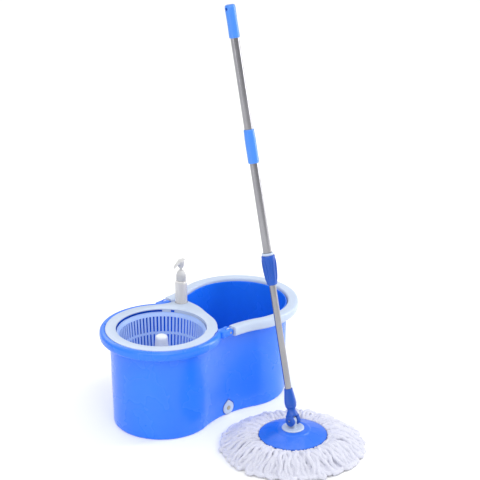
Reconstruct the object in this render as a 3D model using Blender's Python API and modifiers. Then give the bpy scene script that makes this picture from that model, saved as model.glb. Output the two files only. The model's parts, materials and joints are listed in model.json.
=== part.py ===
"""Spin mop with its twin-lobe bucket: bucket, spin basket, splash deck, soap pump and hand-press mop.

The frame's origin is the centre of the bucket's underside. +X runs along the bucket from the basket
lobe to the water lobe, -Y is the side with the drain plug, and +Z is up. The mop stands on the
floor beside the bucket, with its pole leaning towards +Y.
"""
import math

import bmesh
import bpy
from mathutils import Matrix, Vector

# ---------------------------------------------------------------- driving dimensions, in metres
# Bucket
LOBE_SPACING = 0.2244          # between the centres of the two lobes
LOBE_RADIUS = 0.1130           # outside of the wall, just under the rim
WAIST_HALF_WIDTH = 0.0925      # outside of the wall at the waist, just under the rim
WALL_TAPER = 0.0048            # how much further in the wall stands at the floor
WALL_THICKNESS = 0.0030
FLOOR_THICKNESS = 0.0040
BUCKET_HEIGHT = 0.2196         # top of the rolled rim
RIM_OVERHANG = 0.0222          # rolled rim beyond the wall, at the basket lobe
WAIST_OVERHANG = 0.0095        # the same at the waist
RIM_DEPTH = 0.0250             # rolled rim, from its top to its lower edge
LEDGE_OVERHANG = 0.0105        # ledge that the handle lies over, at the water lobe
LOBE_SIDES = 20                # straight facets along one lobe
WAIST_SIDES = 10               # straight facets along one side of the waist

# Splash deck over the basket lobe
DECK_OVER_WALL = 0.0092         # the deck's ring beyond the wall's outside
DECK_RING_WIDTH = 0.0234
DECK_THICKNESS = 0.0034
SKIRT_DEPTH = 0.0130
SKIRT_THICKNESS = 0.0022
SKIRT_START, SKIRT_END = -62, 48   # degrees round the opening
BOTTLE_X = 0.0105

# Spin basket
BASKET_IN_DECK = 0.0038         # gap all round between the basket's rim and the deck
BASKET_RIM_WIDTH = 0.0025
BASKET_DRAFT = 0.0075          # how much further in the basket's wall stands at its floor
BASKET_WALL_THICKNESS = 0.0020
BASKET_RIM_BELOW_DECK = 0.0030
BASKET_DEPTH = 0.0930
BASKET_SLOTS = 24
HUB_RADIUS = 0.0150
HUB_BELOW_RIM = 0.0125
SPINDLE_RADIUS = 0.0050
BEARING_LENGTH = 0.0140

# Carry handle
HANDLE_WIDTH = 0.0236
HANDLE_HEIGHT = 0.0218
HANDLE_TOP_ABOVE_RIM = 0.0024
PIVOT_X = -0.0095
KNUCKLE_RADIUS = 0.0090
TONGUE_THICKNESS = 0.0050
CHEEK_THICKNESS = 0.0050
HANDLE_PIN_RADIUS = 0.0025

# Drain plug
DRAIN_X = 0.0035
DRAIN_RADIUS = 0.0150
DRAIN_POINT_HEIGHT = 0.0205    # from the round part's centre to the teardrop's tip
DRAIN_CENTRE_HEIGHT = 0.0170
DRAIN_PORT_RADIUS = 0.0062
DRAIN_POCKET_DEPTH = 0.0012
DRAIN_PLATE_THICKNESS = 0.0030
DRAIN_BUTTON_RADIUS = 0.0050
DRAIN_BUTTON_SUNK = 0.0012
DRAIN_BUTTON_PROUD = 0.0008

# Soap bottle and pump
BOTTLE_RADIUS = 0.0135
BOTTLE_HEIGHT = 0.0560
BOTTLE_WALL = 0.0012
BOTTLE_WELL_DEPTH = 0.0055
BOTTLE_CUP_FLOOR = 0.0015
NECK_RADIUS = 0.0080
NECK_HEIGHT = 0.0090
CAP_RADIUS = 0.0100
CAP_HEIGHT = 0.0235
STEM_RADIUS = 0.0030
PUMP_STROKE = 0.0060
PUMP_NOZZLE_REACH = 0.0185

# Mop pole, measured along the pole from the yoke pin
MOP_X, MOP_Y = -0.0076, -0.3036
PIN_HEIGHT = 0.0709
POLE_LEAN = math.radians(12.72)
SOCKET_START = 0.0273
SOCKET_LENGTH = 0.0437
SOCKET_RADIUS = 0.0127
LOWER_TUBE_RADIUS = 0.0072
LOWER_TUBE_WALL = 0.0010
PRESS_STROKE = 0.2000
DRIVE_LEAD = 0.0800            # travel of the pole for one turn of the shaft
COLLAR_START = 0.3000
COLLAR_LENGTH = 0.0640
COLLAR_OVER_POLE = 0.0056
POLE_RADIUS = 0.0090
POLE_WALL = 0.0006
COUPLING_START = 0.5610
COUPLING_LENGTH = 0.0710
COUPLING_OVER_POLE = 0.0028
GRIP_START = 0.8220
GRIP_LENGTH = 0.0680
TUBE_IN_GRIP = 0.0500
GRIP_OVER_POLE = 0.00225
HANGING_HOLE_RADIUS = 0.0032
DRIVE_ROD_WIDTH = 0.0070
DRIVE_ROD_THICKNESS = 0.0012

# Mop head
EAR_RADIUS = 0.0120
EAR_THICKNESS = 0.0082
EAR_GAP = 0.0080
YOKE_PIN_RADIUS = 0.0025
HEAD_SCREW_RADIUS = 0.0025
HUB_PLATE_RADIUS = 0.0240
DISC_RADIUS = 0.0735
DISC_BOSS_RADIUS = 0.0370
DISC_TEETH = 24
DISC_TOOTH_DEPTH = 0.0018
DISC_THICKNESS = 0.0030
DISC_RIM_HEIGHT = 0.0380       # top of the disc's edge above the floor
STRAND_RADIUS = 0.1550
STRAND_HEIGHT = 0.0330
BACKING_THICKNESS = 0.0045

# Clearances
TOUCH = 0.0003                 # between pieces that rest on or are fixed in one another
RUNNING = 0.00015              # radial, between pieces that turn or slide in one another
HANDLE_CLEARANCE = 0.0018      # between the handle and the lip it lies around

# ---------------------------------------------------------------- places worked out from them
HALF = LOBE_SPACING / 2
BASKET_CENTRE = Vector((-HALF, 0, 0))
DECK_RADIUS = LOBE_RADIUS + DECK_OVER_WALL
DECK_OPENING_RADIUS = DECK_RADIUS - DECK_RING_WIDTH
BASKET_RIM_RADIUS = DECK_OPENING_RADIUS - BASKET_IN_DECK
BASKET_WALL_RADIUS = BASKET_RIM_RADIUS - BASKET_RIM_WIDTH
BASKET_FLOOR_RADIUS = BASKET_WALL_RADIUS - BASKET_DRAFT
COLLAR_RADIUS = POLE_RADIUS + COLLAR_OVER_POLE
COUPLING_RADIUS = POLE_RADIUS + COUPLING_OVER_POLE
GRIP_RADIUS = POLE_RADIUS + GRIP_OVER_POLE
SEAT_Z = BUCKET_HEIGHT - 0.0034
DECK_Z = SEAT_Z + TOUCH + DECK_THICKNESS / 2
DECK_TOP = DECK_Z + DECK_THICKNESS / 2
HANDLE_Z = BUCKET_HEIGHT + HANDLE_TOP_ABOVE_RIM - HANDLE_HEIGHT / 2
HANDLE_OFFSET = HANDLE_CLEARANCE + HANDLE_WIDTH / 2
PIVOT_Y = WAIST_HALF_WIDTH + HANDLE_OFFSET - 0.0015
BASKET_TOP = SEAT_Z - BASKET_RIM_BELOW_DECK
BASKET_FLOOR = BASKET_TOP - BASKET_DEPTH
HUB_TOP = BASKET_TOP - HUB_BELOW_RIM
BEARING_TOP = HUB_TOP - 0.0180
WELL_RADIUS = BOTTLE_RADIUS + 0.0018
BOTTLE_Y = WAIST_HALF_WIDTH - WALL_THICKNESS - WELL_RADIUS - 0.0008
BOTTLE_FLOOR = DECK_TOP - BOTTLE_WELL_DEPTH + BOTTLE_CUP_FLOOR + TOUCH
BOTTLE_SHOULDER = BOTTLE_FLOOR + BOTTLE_HEIGHT
NECK_TOP = BOTTLE_SHOULDER + NECK_HEIGHT
CAP_TOP = BOTTLE_SHOULDER + 0.0006 + CAP_HEIGHT
TUBE_INNER = POLE_RADIUS - POLE_WALL
LOWER_TUBE_START = SOCKET_START + 0.0130
BUSH_START = COLLAR_START + COLLAR_LENGTH + 0.0060
BUSH_LENGTH = 0.0250
LOWER_TUBE_END = BUSH_START + BUSH_LENGTH
NUT_THICKNESS = 0.0025
POLE_JOIN = COUPLING_START + COUPLING_LENGTH / 2
ROD_START = LOWER_TUBE_END - 0.0080
ROD_END = POLE_JOIN + 0.0250
DISC_TOP_Z = PIN_HEIGHT - 0.0185
DISC_EDGE_BOTTOM = DISC_RIM_HEIGHT - DISC_THICKNESS


# ---------------------------------------------------------------- scene helpers
def clear_scene():
    for thing in list(bpy.data.objects):
        bpy.data.objects.remove(thing, do_unlink=True)
    for group in list(bpy.data.collections):
        bpy.data.collections.remove(group)


def new_collection(name):
    group = bpy.data.collections.new(name)
    bpy.context.scene.collection.children.link(group)
    return group


def new_material(name, colour, roughness, metallic=0.0):
    made = bpy.data.materials.new(name)
    made.use_nodes = True
    shader = made.node_tree.nodes["Principled BSDF"]
    shader.inputs["Base Color"].default_value = (*colour, 1.0)
    shader.inputs["Roughness"].default_value = roughness
    shader.inputs["Metallic"].default_value = metallic
    made.diffuse_color = (*colour, 1.0)
    return made


def new_empty(name, location, rotation=(0, 0, 0)):
    empty = bpy.data.objects.new(name, None)
    empty.location = location
    empty.rotation_euler = rotation
    PARTS.objects.link(empty)
    return empty


def finish(mesh, name, material, parent=None, location=(0, 0, 0)):
    """Make an object of a mesh, shaded smooth with its corners kept sharp."""
    mesh.name = name
    mesh.materials.clear()
    mesh.materials.append(material)
    mesh.shade_smooth()
    mesh.set_sharp_from_angle(angle=math.radians(32))
    made = bpy.data.objects.new(name, mesh)
    made.location = location
    made.parent = parent
    PARTS.objects.link(made)
    return made


def mesh_from(bm, name):
    bmesh.ops.recalc_face_normals(bm, faces=bm.faces)
    mesh = bpy.data.meshes.new(name)
    bm.to_mesh(mesh)
    bm.free()
    return mesh


def evaluated_mesh(thing):
    bpy.context.view_layer.update()
    graph = bpy.context.evaluated_depsgraph_get()
    return bpy.data.meshes.new_from_object(thing.evaluated_get(graph))


def freeze(thing):
    """Apply a thing's modifiers and shade the result."""
    mesh = evaluated_mesh(thing)
    material = thing.data.materials[0] if thing.data.materials else None
    thing.modifiers.clear()
    thing.data = mesh
    mesh.name = thing.name
    if material and not mesh.materials:
        mesh.materials.append(material)
    mesh.shade_smooth()
    mesh.set_sharp_from_angle(angle=math.radians(32))
    return thing


def turned_mesh(name, profile, closed, steps):
    """Turn a profile of (radius, height) points about Z with a Screw modifier."""
    mesh = bpy.data.meshes.new(name)
    points = [(radius, 0.0, height) for radius, height in profile]
    edges = [(i, i + 1) for i in range(len(points) - 1)]
    if closed:
        edges.append((len(points) - 1, 0))
    mesh.from_pydata(points, edges, [])
    turned = bpy.data.objects.new(name, mesh)
    bpy.context.scene.collection.objects.link(turned)
    screw = turned.modifiers.new("Turn", "SCREW")
    screw.axis = "Z"
    screw.angle = math.tau
    screw.steps = steps
    screw.render_steps = steps
    screw.use_merge_vertices = True
    screw.merge_threshold = 0.00001
    solid = evaluated_mesh(turned)
    bpy.data.objects.remove(turned, do_unlink=True)
    bm = bmesh.new()
    bm.from_mesh(solid)
    return mesh_from(bm, name)


def turned(name, profile, material, parent=None, location=(0, 0, 0), steps=24):
    """A solid of revolution: its profile starts and ends on the axis, and runs down its outer side."""
    return finish(turned_mesh(name, profile, False, steps), name, material, parent, location)


def sleeve(name, outer, inner, material, parent=None, location=(0, 0, 0), steps=24):
    """A turned ring: outer side top to bottom, then inner side bottom to top."""
    profile = outer + inner
    return finish(turned_mesh(name, profile, True, steps), name, material, parent, location)


def tube(name, radius, wall, low, high, material, parent, steps=24):
    outer = [(radius, high), (radius, low)]
    inner = [(radius - wall, low), (radius - wall, high)]
    return sleeve(name, outer, inner, material, parent, steps=steps)


def box_bm(bm, centre, size):
    matrix = Matrix.Translation(centre) @ Matrix.Diagonal((*size, 1.0))
    bmesh.ops.create_cube(bm, size=1.0, matrix=matrix)


def cylinder_bm(bm, centre, radius, length, axis, segments=24):
    turn = Vector((0, 0, 1)).rotation_difference(Vector(axis)).to_matrix().to_4x4()
    bmesh.ops.create_cone(bm, cap_ends=True, segments=segments, radius1=radius, radius2=radius,
                          depth=length, matrix=Matrix.Translation(centre) @ turn)


def tool(name, build, parent=None, location=(0, 0, 0)):
    """A cutter or a lump to join on, kept out of the model's own collection."""
    bm = bmesh.new()
    build(bm)
    made = bpy.data.objects.new(name, mesh_from(bm, name))
    made.location = location
    made.parent = parent
    made.hide_render = True
    made.display_type = "WIRE"
    CUTTERS.objects.link(made)
    return made


def apply_tools(thing, steps):
    """Run Boolean modifiers in order: steps is a list of (operation, tool)."""
    for operation, other in steps:
        change = thing.modifiers.new(operation.title(), "BOOLEAN")
        change.operation = operation
        change.solver = "EXACT"
        change.object = other
    return freeze(thing)


def prism_mesh(name, outline, low, high):
    """A flat outline drawn as a 2D curve, filled on both sides and extruded."""
    curve = bpy.data.curves.new(name, "CURVE")
    curve.dimensions = "2D"
    curve.fill_mode = "BOTH"
    curve.extrude = (high - low) / 2
    for loop in outline:
        spline = curve.splines.new("POLY")
        spline.points.add(len(loop) - 1)
        for point, (x, y) in zip(spline.points, loop):
            point.co = (x, y, 0, 1)
        spline.use_cyclic_u = True
    drawn = bpy.data.objects.new(name, curve)
    bpy.context.scene.collection.objects.link(drawn)
    mesh = evaluated_mesh(drawn)
    bpy.data.objects.remove(drawn, do_unlink=True)
    bm = bmesh.new()
    bm.from_mesh(mesh)
    bmesh.ops.remove_doubles(bm, verts=bm.verts, dist=0.00001)
    bmesh.ops.translate(bm, verts=bm.verts, vec=(0, 0, (low + high) / 2))
    return mesh_from(bm, name)


def outlined(name, outline, low, high):
    """A prism to cut with or to join on."""
    made = bpy.data.objects.new(name, prism_mesh(name, [outline], low, high))
    made.hide_render = True
    made.display_type = "WIRE"
    CUTTERS.objects.link(made)
    return made


def loft_mesh(name, loops, close_loops=False):
    """Skin a row of equal loops; the ends are capped, or joined when close_loops is set."""
    bm = bmesh.new()
    rows = [[bm.verts.new(point) for point in loop] for loop in loops]
    count = len(rows[0])
    pairs = list(zip(rows, rows[1:]))
    if close_loops:
        pairs.append((rows[-1], rows[0]))
    for first, second in pairs:
        for i in range(count):
            j = (i + 1) % count
            bm.faces.new((first[i], first[j], second[j], second[i]))
    if not close_loops:
        bm.faces.new(rows[0])
        bm.faces.new(rows[-1])
    return mesh_from(bm, name)


def arc(centre, radius, start, end, sides):
    """Points on an arc in the XY plane, angles in degrees, both ends included."""
    points = []
    for i in range(sides + 1):
        angle = math.radians(start + (end - start) * i / sides)
        points.append((centre[0] + radius * math.cos(angle), centre[1] + radius * math.sin(angle)))
    return points


# ---------------------------------------------------------------- the bucket's outline
def bucket_outline():
    """The wall's outside just under the rim: points and outward normals, anticlockwise.

    Two lobes are joined by a concave arc on each side, tangent to both.
    """
    radius, waist = LOBE_RADIUS, WAIST_HALF_WIDTH
    hollow = (HALF ** 2 + waist ** 2 - radius ** 2) / (2 * (radius - waist))
    hollow_y = waist + hollow
    touch = math.degrees(math.atan2(hollow_y, HALF))
    stops = []
    for i in range(LOBE_SIDES + 1):
        angle = math.radians(-(180 - touch) + 2 * (180 - touch) * i / LOBE_SIDES)
        normal = Vector((math.cos(angle), math.sin(angle)))
        stops.append((Vector((HALF, 0)) + radius * normal, normal))
    for i in range(1, WAIST_SIDES):
        angle = math.radians(-touch - (180 - 2 * touch) * i / WAIST_SIDES)
        inward = Vector((math.cos(angle), math.sin(angle)))
        stops.append((Vector((0, hollow_y)) + hollow * inward, -inward))
    half_turn = [(-point, -normal) for point, normal in stops]
    return stops + half_turn


def share(x):
    """How far a point belongs to the basket lobe (-1), the waist (0) or the handle's side (+1).

    The rolled rim narrows into the waist and ends behind the handle's pivots.
    """
    waist_end = PIVOT_X - KNUCKLE_RADIUS
    if x < waist_end:
        reach = min((waist_end - x) / (0.45 * HALF), 1.0)
        return -reach * reach * (3 - 2 * reach)
    reach = min((x - waist_end) / (-0.001 - waist_end), 1.0)
    return reach


def bucket_loop(left, waist, right):
    """One loop around the bucket; left, waist and right are (offset from the wall, height)."""
    loop = []
    for point, normal in OUTLINE:
        weight = share(point.x)
        side = left if weight < 0 else right
        offset = waist[0] + (side[0] - waist[0]) * abs(weight)
        height = waist[1] + (side[1] - waist[1]) * abs(weight)
        loop.append((point.x + normal.x * offset, point.y + normal.y * offset, height))
    return loop


def level_loop(offset, height):
    return bucket_loop((offset, height), (offset, height), (offset, height))


def build_bucket(material):
    top = BUCKET_HEIGHT
    under = top - RIM_DEPTH
    lip = top - 0.0040
    thick = WALL_THICKNESS
    over, side, ledge = RIM_OVERHANG, WAIST_OVERHANG, LEDGE_OVERHANG
    ledge_top = HANDLE_Z - HANDLE_HEIGHT / 2 - 0.0008
    seat = DECK_RADIUS + 0.0004 - LOBE_RADIUS
    loops = [
        level_loop(-WALL_TAPER - 0.0030, 0.0),
        level_loop(-WALL_TAPER, 0.0030),
        level_loop(-0.0003, under),
        bucket_loop((over * 0.55, under + 0.0015), (side * 0.5, under + 0.0020),
                    (ledge * 0.7, under + 0.0005)),
        bucket_loop((over * 0.92, under + 0.0050), (side * 0.9, under + 0.0055),
                    (ledge, ledge_top - 0.0022)),
        bucket_loop((over, under + 0.0110), (side, under + 0.0110), (ledge, ledge_top - 0.0004)),
        bucket_loop((over * 0.97, top - 0.0050), (side * 0.95, top - 0.0050), (ledge - 0.0010, ledge_top)),
        bucket_loop((over * 0.83, top - 0.0012), (side * 0.75, top - 0.0010), (0.0008, ledge_top + 0.0002)),
        bucket_loop((over * 0.62, top), (side * 0.45, top), (0.0, ledge_top + 0.0012)),
        bucket_loop((seat + 0.0002, top - 0.0008), (0.0010, top - 0.0008), (0.0, lip - 0.0010)),
        bucket_loop((seat, SEAT_Z), (0.0002, SEAT_Z), (-0.0004, lip)),
        bucket_loop((0.0, SEAT_Z), (-thick * 0.8, SEAT_Z), (-thick + 0.0004, lip)),
        level_loop(-thick, top - 0.0080),
        level_loop(-WALL_TAPER - thick, FLOOR_THICKNESS + 0.0040),
        level_loop(-WALL_TAPER - thick - 0.0040, FLOOR_THICKNESS),
    ]
    bucket = finish(loft_mesh("bucket", loops), "bucket", material)

    steps = []
    tongue_gap = TONGUE_THICKNESS + 2 * TOUCH
    cheek_outer = PIVOT_Y + tongue_gap / 2 + CHEEK_THICKNESS
    cheek_inner = WAIST_HALF_WIDTH - thick / 2
    middle = (cheek_outer + cheek_inner) / 2
    width = cheek_outer - cheek_inner
    for sign, place in ((-1, "front"), (1, "rear")):
        def knuckle(bm, sign=sign):
            cylinder_bm(bm, (PIVOT_X, sign * middle, HANDLE_Z), KNUCKLE_RADIUS, width, (0, 1, 0), 24)

        def block(bm, sign=sign):
            size = (0.0240, width - 0.0004, 2 * KNUCKLE_RADIUS - 0.0006)
            box_bm(bm, (PIVOT_X - 0.0130, sign * middle, HANDLE_Z), size)

        def slot(bm, sign=sign):
            low = PIVOT_X - KNUCKLE_RADIUS - 0.0008
            box_bm(bm, (low + 0.0200, sign * PIVOT_Y, HANDLE_Z), (0.0400, tongue_gap, 0.0400))

        def pin_hole(bm, sign=sign):
            length = cheek_outer - cheek_inner
            centre = (PIVOT_X, sign * (cheek_inner + 0.0030 + length / 2), HANDLE_Z)
            cylinder_bm(bm, centre, HANDLE_PIN_RADIUS + TOUCH, length, (0, 1, 0), 16)

        steps.append(("UNION", tool(f"knuckle_{place}", knuckle)))
        steps.append(("UNION", tool(f"knuckle_block_{place}", block)))
        steps.append(("DIFFERENCE", tool(f"tongue_slot_{place}", slot)))
        steps.append(("DIFFERENCE", tool(f"pin_hole_{place}", pin_hole)))

    recess_low, recess_high = SEAT_Z, BUCKET_HEIGHT + 0.0100
    for name, outline in deck_outlines(0.0004):
        steps.append(("DIFFERENCE", outlined(f"{name}_recess", outline, recess_low, recess_high)))

    pocket_back = drain_wall_y() + DRAIN_POCKET_DEPTH

    def pocket(bm):
        teardrop_bm(bm, DRAIN_RADIUS + 0.0010, DRAIN_POINT_HEIGHT + 0.0014, pocket_back - 0.0080, pocket_back)

    def port(bm):
        centre = (DRAIN_X, drain_wall_y(), DRAIN_CENTRE_HEIGHT)
        cylinder_bm(bm, centre, DRAIN_PORT_RADIUS, 0.0200, (0, 1, 0), 24)

    steps.append(("DIFFERENCE", tool("drain_pocket", pocket)))
    steps.append(("DIFFERENCE", tool("drain_port", port)))
    return apply_tools(bucket, steps)


# ---------------------------------------------------------------- drain
def drain_wall_y():
    """Outside of the wall at the drain, on the -Y side."""
    part_way = DRAIN_CENTRE_HEIGHT / (BUCKET_HEIGHT - RIM_DEPTH)
    return -(WAIST_HALF_WIDTH - WALL_TAPER * (1 - part_way))


def teardrop_bm(bm, radius, tip, low_y, high_y):
    """A teardrop prism along Y: round below, pointed above."""
    half = math.degrees(math.acos(radius / tip))
    outline = arc((0, 0), radius, 90 + half, 450 - half, 20)
    outline.append((0.0, tip))
    rows = []
    for y in (low_y, high_y):
        rows.append([bm.verts.new((DRAIN_X + x, y, DRAIN_CENTRE_HEIGHT + z)) for x, z in outline])
    count = len(outline)
    for i in range(count):
        j = (i + 1) % count
        bm.faces.new((rows[0][i], rows[0][j], rows[1][j], rows[1][i]))
    bm.faces.new(rows[0])
    bm.faces.new(rows[1])


def build_drain(white, rubber):
    back = drain_wall_y() + DRAIN_POCKET_DEPTH - TOUCH
    front = back - DRAIN_PLATE_THICKNESS
    bm = bmesh.new()
    teardrop_bm(bm, DRAIN_RADIUS, DRAIN_POINT_HEIGHT, front, back)
    plug = finish(mesh_from(bm, "drain_plug"), "drain_plug", white)
    stem_end = back + WALL_THICKNESS + 0.0020

    def stem(bm):
        centre = (DRAIN_X, (stem_end + back - 0.0010) / 2, DRAIN_CENTRE_HEIGHT)
        length = stem_end - back + 0.0010
        cylinder_bm(bm, centre, DRAIN_PORT_RADIUS - TOUCH, length, (0, 1, 0), 24)

    def dimple(bm):
        centre = (DRAIN_X, front, DRAIN_CENTRE_HEIGHT)
        cylinder_bm(bm, centre, DRAIN_BUTTON_RADIUS + TOUCH, 2 * DRAIN_BUTTON_SUNK, (0, 1, 0), 20)

    apply_tools(plug, [("UNION", tool("plug_stem", stem)), ("DIFFERENCE", tool("plug_dimple", dimple))])
    bm = bmesh.new()
    depth = DRAIN_BUTTON_SUNK + DRAIN_BUTTON_PROUD - TOUCH
    centre = (DRAIN_X, front - DRAIN_BUTTON_PROUD + depth / 2, DRAIN_CENTRE_HEIGHT)
    cylinder_bm(bm, centre, DRAIN_BUTTON_RADIUS, depth, (0, 1, 0), 20)
    finish(mesh_from(bm, "drain_button"), "drain_button", rubber)


# ---------------------------------------------------------------- carry handle
def build_handle(white, steel):
    start = next(i for i, item in enumerate(OUTLINE) if item[0].x > 0.004 and OUTLINE[i - 1][0].x <= 0.004)
    path = []
    for k in range(len(OUTLINE)):
        point, normal = OUTLINE[(start + k) % len(OUTLINE)]
        if point.x <= 0.004:
            break
        path.append((point, normal))
    ends = []
    for sign in (-1, 1):
        ends.append((Vector((0.0, sign * WAIST_HALF_WIDTH)), Vector((0.0, float(sign)))))
    path = [ends[0]] + path + [ends[1]]
    section = []
    for k in range(12):
        angle = math.tau * k / 12
        along = math.copysign(abs(math.cos(angle)) ** 0.55, math.cos(angle)) * HANDLE_WIDTH / 2
        upward = math.copysign(abs(math.sin(angle)) ** 0.55, math.sin(angle)) * HANDLE_HEIGHT / 2
        section.append((along, upward))
    loops = []
    for point, normal in path:
        middle = point + normal * HANDLE_OFFSET
        loops.append([(middle.x + normal.x * a, middle.y + normal.y * a, HANDLE_Z + b) for a, b in section])
    mesh = loft_mesh("carry_handle", loops)
    mesh.transform(Matrix.Translation((-PIVOT_X, 0, -HANDLE_Z)))
    handle = finish(mesh, "carry_handle", white, location=(PIVOT_X, 0, HANDLE_Z))
    steps = []
    for sign, place in ((-1, "front"), (1, "rear")):
        def eye(bm, sign=sign):
            centre = (PIVOT_X, sign * PIVOT_Y, HANDLE_Z)
            cylinder_bm(bm, centre, KNUCKLE_RADIUS - 0.0006, TONGUE_THICKNESS, (0, 1, 0))

        def tongue(bm, sign=sign):
            length = 0.0040 - PIVOT_X
            size = (length, TONGUE_THICKNESS - 0.0004, 2 * (KNUCKLE_RADIUS - 0.0022))
            box_bm(bm, (PIVOT_X + length / 2, sign * PIVOT_Y, HANDLE_Z), size)

        def bore(bm, sign=sign):
            radius = HANDLE_PIN_RADIUS + TOUCH
            cylinder_bm(bm, (PIVOT_X, sign * PIVOT_Y, HANDLE_Z), radius, 0.0100, (0, 1, 0), 16)

        steps.append(("UNION", tool(f"handle_eye_{place}", eye)))
        steps.append(("UNION", tool(f"handle_tongue_{place}", tongue)))
        steps.append(("DIFFERENCE", tool(f"handle_bore_{place}", bore)))
    apply_tools(handle, steps)

    cheek_inner = WAIST_HALF_WIDTH - WALL_THICKNESS / 2
    pin_start = cheek_inner + 0.0030 + TOUCH
    pin_end = PIVOT_Y + TONGUE_THICKNESS / 2 + TOUCH + CHEEK_THICKNESS - 0.0004
    for sign, place in ((-1, "front"), (1, "rear")):
        bm = bmesh.new()
        length = pin_end - pin_start
        cylinder_bm(bm, (0, sign * (pin_start + length / 2), 0), HANDLE_PIN_RADIUS, length, (0, 1, 0), 16)
        name = f"handle_pin_{place}"
        finish(mesh_from(bm, name), name, steel, location=(PIVOT_X, 0, HANDLE_Z))


# ---------------------------------------------------------------- splash deck
def grown(outline, distance):
    """Move each point of an anticlockwise outline outwards by a distance."""
    moved = []
    count = len(outline)
    for i, point in enumerate(outline):
        before = (Vector(point) - Vector(outline[i - 1])).normalized()
        after = (Vector(outline[(i + 1) % count]) - Vector(point)).normalized()
        along = (before + after).normalized()
        outward = Vector((along.y, -along.x))
        moved.append(tuple(Vector(point) + outward * distance))
    return moved


def deck_outlines(clearance):
    """The ring's, the bottle platform's and the front tab's outlines, each with a clearance."""
    radius = DECK_RADIUS + clearance

    def on_ring(angle):
        turn = math.radians(angle)
        return (-HALF + DECK_RADIUS * math.cos(turn), DECK_RADIUS * math.sin(turn))

    ring = arc((-HALF, 0), radius, 0, 360, 48)[:-1]
    platform = arc((BOTTLE_X, BOTTLE_Y), WELL_RADIUS, -28, 120, 10)
    inner_edge = [(-0.0300, 0.0), on_ring(-18), (0.0130, -0.0050), (0.0235, 0.0280)]
    back_edge = [(-0.0080, BOTTLE_Y + 0.0135), (-0.0250, BOTTLE_Y + 0.0180), on_ring(57), on_ring(48)]
    extension = inner_edge + platform + back_edge
    tab = [(-0.0500, -0.0880), on_ring(-62), (-0.0480, -0.1020), (-0.0370, -0.0975), (-0.0250, -0.0880),
           on_ring(-46)]
    return [("ring", ring), ("extension", grown(extension, clearance)), ("tab", grown(tab, clearance))]


def build_deck(white):
    low, high = DECK_Z - DECK_THICKNESS / 2, DECK_Z + DECK_THICKNESS / 2
    (_, ring), (_, extension), (_, tab) = deck_outlines(0.0)
    deck = finish(prism_mesh("splash_deck", [ring], low, high), "splash_deck", white)
    deck_extension = outlined("deck_extension", extension, low + 0.0001, high - 0.0001)
    front_tab = outlined("deck_tab", tab, low + 0.0001, high - 0.0001)

    def opening(bm):
        cylinder_bm(bm, (-HALF, 0, DECK_Z), DECK_OPENING_RADIUS, 0.0400, (0, 0, 1), 48)

    inner, outer = DECK_OPENING_RADIUS, DECK_OPENING_RADIUS + SKIRT_THICKNESS
    start, end = SKIRT_START, SKIRT_END
    skirt_outline = arc((-HALF, 0), outer, start, end, 14) + arc((-HALF, 0), inner, end, start, 14)
    skirt = outlined("deck_skirt", skirt_outline, high - SKIRT_DEPTH, high - 0.0005)

    def cup(bm):
        depth = BOTTLE_WELL_DEPTH + 0.0001
        centre = (BOTTLE_X, BOTTLE_Y, high - 0.0001 - depth / 2)
        cylinder_bm(bm, centre, WELL_RADIUS - 0.0001, depth, (0, 0, 1), 20)

    def bottle_well(bm):
        depth = BOTTLE_WELL_DEPTH - BOTTLE_CUP_FLOOR
        centre = (BOTTLE_X, BOTTLE_Y, high + 0.0100 - depth / 2)
        cylinder_bm(bm, centre, BOTTLE_RADIUS + 0.0005, depth + 0.0200, (0, 0, 1), 20)

    steps = [
        ("UNION", deck_extension),
        ("UNION", front_tab),
        ("UNION", tool("bottle_cup", cup)),
        ("DIFFERENCE", tool("deck_opening", opening)),
        ("UNION", skirt),
        ("DIFFERENCE", tool("bottle_well", bottle_well)),
    ]
    return apply_tools(deck, steps)


# ---------------------------------------------------------------- spin basket
def basket_path():
    """The basket's inner surface from its rim to the top of the hub, as (radius, height)."""
    top, floor = BASKET_TOP, BASKET_FLOOR
    slope = (BASKET_WALL_RADIUS - BASKET_FLOOR_RADIUS) / (top - floor)

    def wall(z):
        return BASKET_FLOOR_RADIUS + slope * (z - floor)

    upper_top = top - 0.0090
    upper_low = top - 0.0450
    lower_top = top - 0.0500
    lower_low = top - 0.0840
    path = [
        (BASKET_RIM_RADIUS, top),
        (wall(upper_top), upper_top),
        (wall(upper_low), upper_low),
        (wall(lower_top), lower_top),
        (wall(lower_low), lower_low),
        (wall(floor) - 0.0030, floor),
        (HUB_RADIUS * 2.1, floor),
        (HUB_RADIUS * 1.35, floor + 0.3 * (HUB_TOP - floor)),
        (HUB_RADIUS * 0.95, HUB_TOP - 0.0080),
    ]
    return path, (1, 3)


def build_basket(white):
    path, slot_rows = basket_path()
    columns = 2 * BASKET_SLOTS
    bm = bmesh.new()
    rows = []
    for radius, height in path:
        row = []
        for k in range(columns):
            angle = math.tau * k / columns
            row.append(bm.verts.new((radius * math.cos(angle), radius * math.sin(angle), height)))
        rows.append(row)
    tip = bm.verts.new((0, 0, HUB_TOP))
    for i in range(len(rows) - 1):
        for k in range(columns):
            if i in slot_rows and k % 2:
                continue
            j = (k + 1) % columns
            bm.faces.new((rows[i][k], rows[i][j], rows[i + 1][j], rows[i + 1][k]))
    for k in range(columns):
        bm.faces.new((rows[-1][k], rows[-1][(k + 1) % columns], tip))
    skin = mesh_from(bm, "spin_basket")
    basket = finish(skin, "spin_basket", white, location=BASKET_CENTRE)
    thicken = basket.modifiers.new("Wall", "SOLIDIFY")
    thicken.thickness = BASKET_WALL_THICKNESS
    thicken.offset = basket_offset_sign(skin)
    thicken.use_even_offset = True
    return freeze(basket)


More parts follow.
